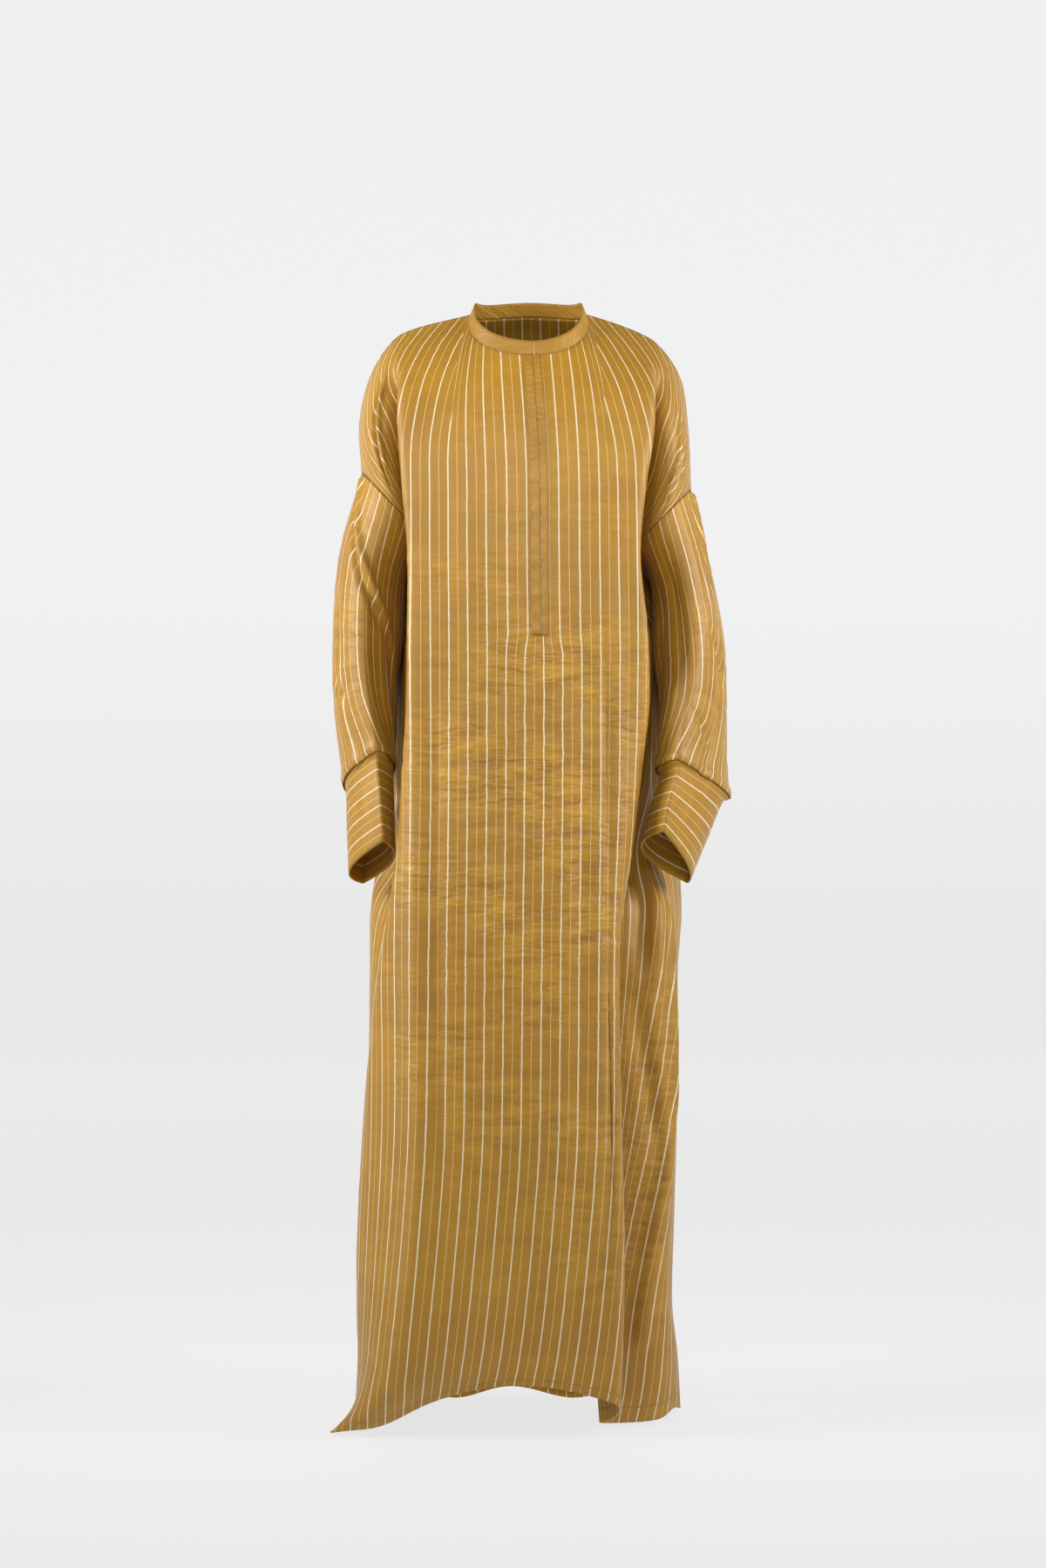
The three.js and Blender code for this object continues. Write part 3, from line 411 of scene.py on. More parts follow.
def half_panel(name, face, steps, neck_steps, arm_rows, body_rows):
    """One half panel's points, [row, column, xyz], from the centre out."""
    stations = half_stations(name, face)
    drop = FRONT_NECK_DROP if face == "front" else BACK_NECK_DROP
    side = SIDES[name]
    ring = armhole(side)
    low = np.linspace(ARMHOLE_ROWS, len(stations) - 1, body_rows + 1)[1:]
    out = []
    for span, share, neck in half_columns(steps, neck_steps):
        top = drop * neck / ARMHOLE_DEPTH * ARMHOLE_ROWS
        v = np.concatenate([np.linspace(top, ARMHOLE_ROWS, arm_rows + 1), low])
        lines = []
        for k in range(span, span + 4):
            line = along(stations[:, k], v)
            if k == len(STATIONS) + 1:
                turn = np.pi * v / ARMHOLE_ROWS * (1 if face == "front" else -1)
                on_arm = (v <= ARMHOLE_ROWS)[:, None]
                below = along(stations[ARMHOLE_ROWS:, k], np.maximum(v - ARMHOLE_ROWS, 0))
                line = np.where(on_arm, ring_points(ring, turn, side["sign"]), below)
            lines.append(line)
        out.append(between(*lines, share))
    return np.stack(out, axis=1)


def normals_of(p, ringed=False):
    """Outward normals of a grid whose columns run from -X to +X on the front."""
    if ringed:
        wide = np.concatenate([p[:, -2:-1], p, p[:, 1:2]], axis=1)
        across = wide[:, 2:] - wide[:, :-2]
    else:
        across = np.gradient(p, axis=1)
    down = np.gradient(p, axis=0)
    return unit(np.cross(down, across))


def ramp(x, low, high):
    f = np.clip((x - low) / (high - low), 0, 1)
    return f * f * (3 - 2 * f)


def fold_height(folds, across, drop):
    """How far the folds lift the cloth at a distance across and a drop down it."""
    total = np.zeros_like(across)
    for fold in folds:
        f = np.clip((drop - fold["drop"][0]) / (fold["drop"][1] - fold["drop"][0]), 0, 1)
        middle = fold["across"][0] + (fold["across"][1] - fold["across"][0]) * f
        middle = middle + fold.get("bend", 0) * np.sin(np.pi * f)
        width = fold["width"][0] + (fold["width"][1] - fold["width"][0]) * f
        first = math.copysign(fold["depth"][0], fold["depth"][1])
        if "ends" in fold:  # a fold that dies away before its cloth ends
            depth = fold["depth"][1] * ramp(f, 0, fold["ends"][0]) * (1 - ramp(f, fold["ends"][1], 1))
        else:
            depth = first * ramp(f, 0, 1 / 6) + (fold["depth"][1] - first) * ramp(f, 0, 1)
        depth = np.where(drop > fold["drop"][0], depth, 0)
        total += depth * np.exp(-(((across - middle) / width) ** 2))
    return total


def crinkle_amount(patches, across, drop):
    """How crinkled the cloth is, from 0 to 1."""
    total = np.full(across.shape, CRINKLE_BASE)
    for patch in patches:
        x = (across - patch["across"]) / patch["reach"][0]
        y = (drop - patch["drop"]) / patch["reach"][1]
        total = total + patch["strength"] * np.exp(-x * x - y * y)
    return np.minimum(total, 1)


def crinkle_height(across, drop, amount, count, seed):
    """Short, slightly bowed ridges that lie across the cloth, at seeded places."""
    rng = np.random.default_rng(seed)
    total = np.zeros_like(across)
    level = drop.mean(axis=1)
    for _ in range(count):
        u = rng.uniform(across.min(), across.max())
        v = rng.uniform(drop.min(), drop.max())
        wide, tall = rng.uniform(*CRINKLE_WIDTH), rng.uniform(*CRINKLE_TALLNESS)
        bow, lift = rng.uniform(-CRINKLE_BOW, CRINKLE_BOW), rng.normal(0, CRINKLE_LIFT)
        rows = np.abs(level - v) < 4 * tall + CRINKLE_MARGIN
        x = across[rows] - u
        y = (drop[rows] - v - bow * x * x) / tall
        total[rows] += lift * np.exp(-((x / wide) ** 2)) * (1 - y * y) * np.exp(-y * y)
    return total * amount


def piece_from_grid(name, points, uv, thickness, ringed=False, flip=False, open_cells=None, **fields):
    """A sheet piece: a grid laid on the cloth's points, with its own flat sizes as UV.

    The fields are what its finish reads: hem_distance and seam_distance in mm, and crinkle."""
    rows, columns = points.shape[:2]
    bm = bmesh.new()
    bmesh.ops.create_grid(bm, x_segments=columns - 1, y_segments=rows - 1, size=0.5)
    bm.verts.ensure_lookup_table()
    layer = bm.loops.layers.uv.new("flat")
    shape = points.shape[:2]
    values = {
        "hem_distance": fields.get("hem", np.full(shape, 1000.0)) / 1000,
        "seam_distance": fields.get("seam", np.full(shape, 1000.0)) / 1000,
        "crinkle": fields.get("crinkle", np.full(shape, CRINKLE_BASE)),
    }
    layers = {key: bm.verts.layers.float.new(key) for key in values}
    homes = {}
    for vert in bm.verts:
        j = round((vert.co.x + 0.5) * (columns - 1))
        i = round((0.5 - vert.co.y) * (rows - 1))
        homes[vert.index] = (i, j)
        vert.co = points[i, j] / 1000
        for key, layer_of in layers.items():
            vert[layer_of] = float(values[key][i, j])
    doomed = []
    for face in bm.faces:
        cells = [homes[v.index] for v in face.verts]
        for loop, (i, j) in zip(face.loops, cells):
            loop[layer].uv = uv[i, j] / 1000
        face.smooth = True
        i, j = min(c[0] for c in cells), min(c[1] for c in cells)
        if open_cells and open_cells(i, j):
            doomed.append(face)
    if doomed:
        bmesh.ops.delete(bm, geom=doomed, context="FACES")
    if ringed:
        seam = [v for v in bm.verts if homes[v.index][1] in (0, columns - 1)]
        bmesh.ops.remove_doubles(bm, verts=seam, dist=1e-6)
    if flip:
        bmesh.ops.reverse_faces(bm, faces=bm.faces)
    mesh = bpy.data.meshes.new(name)
    bm.to_mesh(mesh)
    bm.free()
    piece = bpy.data.objects.new(name, mesh)
    bpy.context.scene.collection.objects.link(piece)
    solidify = piece.modifiers.new("thickness", "SOLIDIFY")
    solidify.thickness = thickness / 1000
    solidify.offset = 0
    solidify.use_even_offset = False
    return piece


def arc(points):
    """Running length along each row of a grid."""
    steps = np.linalg.norm(np.diff(points, axis=1), axis=2)
    return np.concatenate([np.zeros((len(points), 1)), np.cumsum(steps, axis=1)], axis=1)


def panel(face, steps, neck_steps, arm_rows, body_rows, folds, patches, seed):
    """A whole panel: its points, its distance across and drop down the flat cloth, the middle
    column, how crinkled it is, and how far it is from a seam."""
    right = half_panel("right", face, steps, neck_steps, arm_rows, body_rows)
    left = half_panel("left", face, steps, neck_steps, arm_rows, body_rows)
    points = np.concatenate([right[:, ::-1], left], axis=1)
    middle = right.shape[1]
    cuts = arc(left), arc(right)
    across = np.concatenate([-cuts[1][:, ::-1] - OPENING_HALF, cuts[0] + OPENING_HALF], axis=1)
    centre = points[:, middle]
    run = np.concatenate([[0], np.cumsum(np.linalg.norm(np.diff(centre, axis=0), axis=1))])
    neck = FRONT_NECK_DROP if face == "front" else BACK_NECK_DROP
    drop = np.repeat((run + neck)[:, None], points.shape[1], axis=1)
    share = np.linspace(0, 1, arm_rows + 1)[:, None]
    tops = np.array([drop_at for _, _, drop_at in half_columns(steps, neck_steps)]) * neck
    tops = np.concatenate([tops[::-1], tops])[None, :]
    level = run[arm_rows] + neck
    drop[: arm_rows + 1] = tops + (level - tops) * share
    column = np.arange(points.shape[1])
    fade = np.minimum(1, np.minimum(column, column[::-1]) / SEAM_FADE)
    amount = crinkle_amount(patches, across, drop)
    lift = fold_height(folds, across, drop) + crinkle_height(across, drop, amount, CRINKLE_COUNT, seed)
    lift = lift * fade[None, :]
    if face == "front":  # the strips hold the cloth flat beside the opening
        free = ramp(np.abs(across), *STRIP_HOLD["across"])
        lift = lift * np.where(drop < STRIP_HOLD["drop"], free, 1)
    points = points + normals_of(points) * lift[..., None] * (1 if face == "front" else -1)
    if face == "front":
        sag = HEM_SAG["depth"] * np.exp(-(((points[..., 0] - HEM_SAG["x"]) / HEM_SAG["reach"]) ** 2))
        low = points[..., 2] - sag * ramp(drop, drop[-1, 0] - HEM_SAG["rise"], drop[-1, 0])
        points[..., 2] = np.maximum(low, FLOOR + 1)
    reach = np.where(across > 0, across[:, -1:], -across[:, :1])
    seam = reach - np.abs(across)
    shoulder = np.where(tops > 0, 1000.0, np.linalg.norm(points - points[:1], axis=2))
    return points, across, drop, middle, amount, np.minimum(seam, shoulder)


SPAN_STEPS = [26, 13, 16, 14, 11, 9]
NECK_STEPS = 20
ARM_ROWS = 60
BODY_ROWS = 208
STRIP_TAKE_UP = 3.7  # how much the strips draw in the stripes on each side of the opening
TAKE_UP_START = 12  # where that is full, and where it dies away, as distance across
TAKE_UP_REACH = (22, 75)
STRIP_HOLD = dict(across=(14, 40), drop=452)  # where the strips hold the cloth flat
CRINKLE_COUNT = 2600
FRONT_SEED, BACK_SEED = 11, 23
SEAM_FADE = 8.0  # columns beside a side seam over which folds and crinkles die away
SIDE_SLANT = dict(across=(178, 262), drop=620, slant=0.13)  # where the left side's stripes lean
STRIP_LETS_GO = (5, 30)  # how far above and below the opening's end the strips let the stripes go

front_points, front_across, front_drop, front_middle, front_crinkle, front_seam = panel(
    "front", SPAN_STEPS, NECK_STEPS, ARM_ROWS, BODY_ROWS, FRONT_FOLDS, FRONT_CRINKLES, FRONT_SEED)
back_points, back_across, back_drop, back_middle, back_crinkle, back_seam = panel(
    "back", SPAN_STEPS, NECK_STEPS, ARM_ROWS, BODY_ROWS, BACK_FOLDS, BACK_CRINKLES, BACK_SEED)

OPENING_ROWS = ARM_ROWS + 2 * BODY_ROWS // 13  # the opening ends on the tables' waist row
NECK_END = front_middle + 2 + NECK_STEPS  # the neckline's last column
APART = 900  # how far apart the pieces lie on the cloth, so that no two repeat its marks


def hem_of(drop):
    return drop[-1:, :] - drop


# The strips draw the stripes in towards the opening, and let them go just under its end.
opening_foot = front_drop[OPENING_ROWS, 0]
held = 1 - ramp(front_drop, opening_foot - STRIP_LETS_GO[0], opening_foot + STRIP_LETS_GO[1])
aside = np.abs(front_across)
near = ramp(aside, 0, TAKE_UP_START) * (1 - ramp(aside, *TAKE_UP_REACH))
drawn = front_across + np.sign(front_across) * STRIP_TAKE_UP * held * near
# Low on the left side the cloth slides in behind the front edge, and its stripes lean with it.
lean = SIDE_SLANT["slant"] * np.clip(front_drop - SIDE_SLANT["drop"], 0, None)
drawn = drawn + lean * ramp(front_across, *SIDE_SLANT["across"])
front_uv = np.stack([drawn, front_drop], axis=-1)
back_uv = np.stack([back_across + APART, back_drop], axis=-1)
is_open = lambda i, j: j == front_middle - 1 and i < OPENING_ROWS
front = piece_from_grid("front_panel", front_points, front_uv, PANEL_WALL, open_cells=is_open,
                        hem=hem_of(front_drop), seam=front_seam, crinkle=front_crinkle)
back = piece_from_grid("back_panel", back_points, back_uv, PANEL_WALL, flip=True,
                       hem=hem_of(back_drop), seam=back_seam, crinkle=back_crinkle)

# Neckband, from the opening's left edge round the back to its right edge
BAND_EASE = 13  # how far its top edge is eased over the ends of the shoulder seams
BAND_LEAN = 0.1  # how far it leans in, as a share of the way to the neck's middle
BAND_MIDDLE = -20  # where that middle is along Y
BAND_FORWARD = 2
BAND_GAP = 0.3  # between the band and the neckline
BAND_ROWS = 9
mirror_end = front_points.shape[1] - 1 - NECK_END
neckline = np.concatenate([
    front_points[0, front_middle:NECK_END + 1],
    back_points[0, NECK_END - 1:mirror_end:-1],
    front_points[0, mirror_end:front_middle],
])
rise = np.stack([-BAND_LEAN * neckline[:, 0],
                 -BAND_FORWARD - BAND_LEAN * (neckline[:, 1] - BAND_MIDDLE),
                 np.full(len(neckline), NECKBAND_HEIGHT)], axis=1)
top_edge = neckline + unit(rise) * NECKBAND_HEIGHT
run = np.concatenate([[0], np.cumsum(np.linalg.norm(np.diff(neckline, axis=0), axis=1))])
ease = np.exp(-(((run[:, None] - run[None]) / BAND_EASE) ** 2)) * np.gradient(run)[None]
eased = (ease / ease.sum(axis=1, keepdims=True)) @ top_edge
ends = ramp(np.minimum(run, run[-1] - run), 0, 2 * BAND_EASE)[:, None]  # its two ends stay put
top_edge = top_edge + (eased - top_edge) * ends
foot = neckline + unit(top_edge - neckline) * BAND_GAP
share = np.linspace(0, 1, BAND_ROWS)[:, None, None]
band_points = top_edge[None] * (1 - share) + foot[None] * share
band_across = arc(band_points)
band_down = np.broadcast_to(NECKBAND_HEIGHT * share[..., 0], band_across.shape)
band_uv = np.stack([band_down, band_across], axis=-1)
neckband = piece_from_grid("neckband_panel", band_points, band_uv, PANEL_WALL,
                           hem=np.minimum(band_down, NECKBAND_HEIGHT - band_down))

# The two strips beside the opening, puckered between their rows of stitches
STRIP_ROWS = 181
STRIP_COLUMNS = 9
STRIP_GAP = 0.25  # from the centre to a strip's inner edge: the strips all but meet
STRIP_LIFT = 0.55  # between a strip and the front
PUCKER_HEIGHT = 0.45
PUCKER_REPEAT = 13.0
PUCKER_DRIFT = dict(share=0.35, length=41.0, side=0.2)  # what keeps the puckers uneven
strips = []
for name, sign in (("right", -1), ("left", 1)):
    first = front_middle if sign > 0 else front_middle - 1
    edges = [front_points[: OPENING_ROWS + 1, column] for column in (first, first + sign * 2)]
    normals = normals_of(front_points)[: OPENING_ROWS + 1, first]
    v = np.linspace(0, OPENING_ROWS, STRIP_ROWS)
    inner, outer, lift = along(edges[0], v), along(edges[1], v), unit(along(normals, v))
    inner = inner - unit(outer - inner) * (OPENING_HALF - STRIP_GAP)
    f = np.linspace(0, 1, STRIP_COLUMNS)[None, :, None]
    grid = inner[:, None] * (1 - f) + outer[:, None] * f
    run = np.linspace(0, np.linalg.norm(np.diff(inner, axis=0), axis=1).sum(), STRIP_ROWS)
    drift = PUCKER_DRIFT["share"] * np.sin(run / PUCKER_DRIFT["length"]) + sign * PUCKER_DRIFT["side"]
    phase = 2 * np.pi * (run / PUCKER_REPEAT + drift)
    pucker = PUCKER_HEIGHT * np.sin(phase)[:, None] * (1 - np.abs(2 * f[..., 0] - 1) ** 3)
    height = (PANEL_WALL + STRIP_WALL) / 2 + STRIP_LIFT + pucker
    grid = grid + lift[:, None] * height[..., None]
    if sign < 0:
        grid = grid[:, ::-1]
    uv = np.stack([np.broadcast_to(f[..., 0] * (STRIP_EDGE - OPENING_HALF), height.shape),
                   np.broadcast_to(run[:, None], height.shape)], axis=-1)
    edge = (STRIP_EDGE - OPENING_HALF) * (0.5 - np.abs(f[..., 0] - 0.5))
    strips.append(piece_from_grid(f"placket_strip_{name}", grid, uv, STRIP_WALL,
                                  hem=np.broadcast_to(edge, height.shape)))

# Sleeves and cuffs
SLEEVE_TURNS = 132
SLEEVE_ROWS = 110
CUFF_ROWS = 44
SLEEVE_CRINKLE_COUNT = 420
SLEEVE_SEED = 31
SLEEVE_CALM = (24, 20)  # how far from the armhole and the sleeve seam the crinkles are full
SLEEVE_START = (-1, 9)  # the drop over which a sleeve's folds rise from its armhole
CUFF_CREASE_SHARE = 0.12  # how far below its seam a cuff is already pressed into its crease
SLEEVE_PLACE = (2 * APART, 300)  # where sleeves and cuffs lie on the cloth
CUFF_PLACE = 2400
SLEEVE_PRESS = (0.0, 0.0, 0.0, 0.15, 0.45)  # how far each sleeve ring is pressed towards a crease
FULL_END = dict(height=2.0, above=7, reach=6)  # how the full end stands over its cuff


def length_down(grid):
    """How far each row of a tube lies from its first, along its middle line."""
    steps = np.linalg.norm(np.diff(grid.mean(axis=1), axis=0), axis=1)
    return np.repeat(np.concatenate([[0], np.cumsum(steps)])[:, None], grid.shape[1], axis=1)


sleeves, cuffs = {}, {}
turns = np.linspace(-np.pi, np.pi, SLEEVE_TURNS + 1)
for name, side in SIDES.items():
    sign = side["sign"]
    sleeve_rings = [armhole(side), *side["sleeve"]]
    rings = np.array([ring_points(ring, turns, sign, press)
                      for ring, press in zip(sleeve_rings, SLEEVE_PRESS)])
    grid = along(rings, np.linspace(0, len(rings) - 1, SLEEVE_ROWS + 1))
    run = arc(grid)
    across = run - run[:, SLEEVE_TURNS // 2, None]
    drop = length_down(grid)
    outward = normals_of(grid, ringed=True) * -sign
    amount = crinkle_amount(SLEEVE_CRINKLES, across, drop)
    lift = fold_height(SLEEVE_FOLDS[name], across, drop)
    from_seam = np.abs(across[:, :1]) - np.abs(across)
    calm = ramp(drop, 0, SLEEVE_CALM[0]) * ramp(from_seam, 0, SLEEVE_CALM[1])
    lift += crinkle_height(across, drop, amount, SLEEVE_CRINKLE_COUNT, SLEEVE_SEED + sign) * calm
    from_end = (hem_of(drop) - FULL_END["above"]) / FULL_END["reach"]
    lift += FULL_END["height"] * np.exp(-(from_end ** 2))
    grid = grid + outward * (lift * ramp(drop, *SLEEVE_START))[..., None]
    seam = np.minimum(drop, from_seam)
    uv = np.stack([across + SLEEVE_PLACE[0], drop + SLEEVE_PLACE[1]], axis=-1)
    sleeves[name] = piece_from_grid(f"sleeve_panel_{name}", grid, uv, PANEL_WALL, ringed=True,
                                    flip=sign > 0, seam=seam, crinkle=amount)
    ends = grid[-1] - outward[-1] * CUFF_INSET
    tucked = ends + unit(grid[-5] - grid[-1]) * CUFF_TUCK
    top, low = side["sleeve"][-1], side["cuff"][0]
    mixed = {key: np.array(top[key]) + (np.array(low[key]) - top[key]) * CUFF_CREASE_SHARE
             for key in RING_COLUMNS}
    inset = 1 - 2 * CUFF_INSET / np.linalg.norm(mixed["front"])
    mixed.update({key: mixed[key] * inset for key in ("outer", "front", "inner")})
    free = [ring_points(r, turns, sign, 1.0) for r in [mixed, *side["cuff"]]]
    cuff_grid = along(np.array([tucked, ends, *free]), np.linspace(0, 4, CUFF_ROWS + 1))
    cuff_run = arc(cuff_grid)
    cuff_uv = np.stack([length_down(cuff_grid) + CUFF_PLACE, cuff_run], axis=-1)
    cuffs[name] = piece_from_grid(f"cuff_band_{name}", cuff_grid, cuff_uv, CUFF_WALL, ringed=True,
                                  flip=sign > 0)


# Finishes
def add_node(tree, kind, sockets=None, **settings):
    node = tree.nodes.new(kind)
    for key, value in settings.items():
        setattr(node, key, value)
    for key, value in (sockets or {}).items():
        if isinstance(value, bpy.types.NodeSocket):
            tree.links.new(value, node.inputs[key])
        else:
            node.inputs[key].default_value = value
    return node


def calc(tree, operation, a, b=0.0):
    return add_node(tree, "ShaderNodeMath", {0: a, 1: b}, operation=operation).outputs[0]


def sum_of(tree, *parts):
    total = parts[0]
    for part in parts[1:]:
        total = calc(tree, "ADD", total, part)
    return total


def times(tree, a, b):
    return calc(tree, "MULTIPLY", a, b)


def pattern(tree, across, down, name):
    """One of the noises, laid on the flat cloth."""
    noise = dict(zip(NOISE_COLUMNS, NOISES[name]))
    place = add_node(tree, "ShaderNodeCombineXYZ", {
        0: times(tree, across, noise["across"]), 1: times(tree, down, noise["down"]), 2: noise["seed"]})
    return add_node(tree, "ShaderNodeTexNoise", {
        "Vector": place.outputs[0], "Scale": 1.0, "Detail": noise["detail"],
        "Roughness": noise["roughness"], "Distortion": noise["distortion"]}).outputs["Fac"]


def between_values(tree, value, low, high, to_low=0.0, to_high=1.0):
    """A value's place between two others, eased and clamped."""
    node = add_node(tree, "ShaderNodeMapRange", {0: value, 1: low, 2: high, 3: to_low, 4: to_high},
                    interpolation_type="SMOOTHSTEP")
    return node.outputs[0]


def layered(tree, colour, mask, ink):
    """A colour with an ink laid over it where the mask says."""
    layer = add_node(tree, "ShaderNodeMix", {0: mask, 6: colour, 7: ink}, data_type="RGBA")
    return layer.outputs[2]


# The satin's noises: features a metre across and down, then the noise's own settings
NOISE_COLUMNS = ("across", "down", "seed", "detail", "roughness", "distortion")
NOISES = {
    "wide": (26, 78, 1.7, 2.0, 0.5, 0.4),
    "fine": (52, 150, 5.1, 1.5, 0.5, 0.3),
    "patch": (7, 11, 9.3, 1.5, 0.5, 0.0),
    "slope": (9, 4, 2.9, 1.0, 0.5, 0.0),
    "streak": (420, 9, 3.9, 2.0, 0.5, 0.0),
    "weave": (1500, 1500, 7.7, 1.0, 0.6, 0.0),
    "pucker": (120, 120, 6.3, 1.0, 0.5, 0.0),
    "slip": (30, 55, 4.4, 2.0, 0.5, 0.0),
    "thread": (900, 260, 2.2, 2.0, 0.5, 0.0),
    "gather": (170, 170, 8.8, 2.0, 0.5, 0.0),
}
CRINKLE_PATCHES = (0.36, 0.60, 0.35, 1.0)  # from and to in the patch noise, and how crinkled there
THREAD_WEAR = (0.25, 0.55, 0.62, 1.0)  # from and to in the thread noise, and how white there
# Heights in mm
WIDE_CRINKLE = 3.9
FINE_CRINKLE = 2.2
SEAM_PUCKER = 1.6
SEAM_PUCKER_REACH = 17
SEAM_GROOVE = -0.7
SEAM_GROOVE_REACH = (0.0004, 0.0018)  # from and to, m
SLOPE_HEIGHT = 3.0
WEAVE_HEIGHT = 0.035
STREAK_HEIGHT = 0.03
STRIPE_HEIGHT = 0.10
GATHER_HEIGHT = 1.3
STITCH_DEPTH = 0.28
# Shares of the cloth's tone: random light and dark patches and streaks in the cloth, painted light and
# shade on its crinkles, and painted shade in its seam grooves
TONE_AND_SHADING_SHARES = dict(patch=0.35, streak=0.17, crinkle=1.25, groove=0.35)
SLIP = 0.0022  # how far the stripes waver, m
SATIN_ROUGHNESS = 0.47
WEAVE_ROUGHNESS = 0.10
SEAM_ROUGHNESS = 0.05


def satin_group():
    """Satin cloth: its light and dark patches, painted light and shade on its crinkles, painted shade in
    its seam grooves, its crinkles and its weave. Heights are in mm.
    """
    group = bpy.data.node_groups.new("satin cloth", "ShaderNodeTree")
    for name, default in (("Across", 0.0), ("Down", 0.0), ("Crinkle", 1.0), ("Seam", 1.0)):
        socket = group.interface.new_socket(name=name, in_out="INPUT", socket_type="NodeSocketFloat")
        socket.default_value = default
    for name in ("Tone and painted shading", "Roughness", "Height", "Slip"):
        group.interface.new_socket(name=name, in_out="OUTPUT", socket_type="NodeSocketFloat")
    ins = add_node(group, "NodeGroupInput").outputs
    across, down, amount = ins["Across"], ins["Down"], ins["Crinkle"]
    names = ("wide", "fine", "patch", "slope", "streak", "weave", "pucker")
    wide, fine, patch, slope, streak, weave, pucker = (pattern(group, across, down, n) for n in names)
    centred = {key: calc(group, "SUBTRACT", noise, 0.5)
               for key, noise in (("wide", wide), ("fine", fine), ("pucker", pucker))}
    where = times(group, between_values(group, patch, *CRINKLE_PATCHES), amount)
    waves = sum_of(group, times(group, centred["wide"], WIDE_CRINKLE),
                   times(group, centred["fine"], FINE_CRINKLE))
    near_seam = between_values(group, ins["Seam"], 0.0, SEAM_PUCKER_REACH / 1000, 1.0, 0.0)
    puckers = times(group, centred["pucker"], times(group, near_seam, SEAM_PUCKER))
    # The seam groove: a dent in the height, and painted shade in the tone
    groove = between_values(group, ins["Seam"], *SEAM_GROOVE_REACH, SEAM_GROOVE, 0.0)
    threads = sum_of(group, times(group, weave, WEAVE_HEIGHT), times(group, streak, STREAK_HEIGHT))
    height = sum_of(group, threads, times(group, waves, where), puckers, groove,
                    times(group, slope, SLOPE_HEIGHT))
    # Tone and painted shading: random patches and streaks of the cloth's own colour, then painted light
    # and shade on the crinkles and painted shade in the seam groove
    tone_and_shading = sum_of(group, times(group, patch, TONE_AND_SHADING_SHARES["patch"]),
                  times(group, streak, TONE_AND_SHADING_SHARES["streak"]),
                  # painted light on the crinkles' ridges and painted shade in their troughs, from the same
                  # noise that lifts them
                  times(group, centred["wide"], times(group, where, TONE_AND_SHADING_SHARES["crinkle"])),
                  # painted shade in the seam groove, deepest at the seam
                  times(group, groove, TONE_AND_SHADING_SHARES["groove"]))
    rough = sum_of(group, times(group, weave, WEAVE_ROUGHNESS), times(group, near_seam, SEAM_ROUGHNESS))
    slip = calc(group, "SUBTRACT", pattern(group, across, down, "slip"), 0.5)
    add_node(group, "NodeGroupOutput", {
        "Tone and painted shading": tone_and_shading, "Roughness": calc(group, "ADD", rough, SATIN_ROUGHNESS), "Height": height,
        "Slip": times(group, times(group, slip, SLIP), amount)})
    return group


SATIN = satin_group()
# Colours, and the sizes of the stripes and of the stitched rows
GROUND = (0.425, 0.218, 0.011, 1)
# The darker ground: for random dark patches, and for painted shade on crinkle troughs and in seam grooves
GROUND_SHADE = (0.275, 0.126, 0.006, 1)
WHITE_THREAD = (0.72, 0.62, 0.42, 1)
FAINT_THREAD = (0.60, 0.385, 0.12, 1)
STITCH = (0.27, 0.135, 0.025, 1)
TONE_AND_SHADING_RANGE = (-0.02, 0.52)
WHITE_HALF = (0.00105, 0.00060)  # half width of a white stripe, at its foot and its crown, m
FAINT_HALF = (0.00070, 0.00035)
FAINT_SHARE = 0.85
WHITE_PHASE = 0.0036  # one white stripe lies this far left of the front's middle, m
REPEATS_ABOVE_ZERO = 100  # added so that no distance across is below zero
HEM_STITCH = 7.8  # a row of stitches above the hem, mm
EDGE_STITCH = 1.3  # a row of stitches inside a strip's edge
STITCH_LENGTH = 0.0014
STITCH_GAP = (0.0003, 0.0006)
STITCH_HALF = (0.0009, 0.0003)  # half width of the row, at its foot and its crown, m
GATHER_HALF = (0.0060, 0.0008)  # half width of the cloth that it gathers
STITCH_SHARE = 0.75


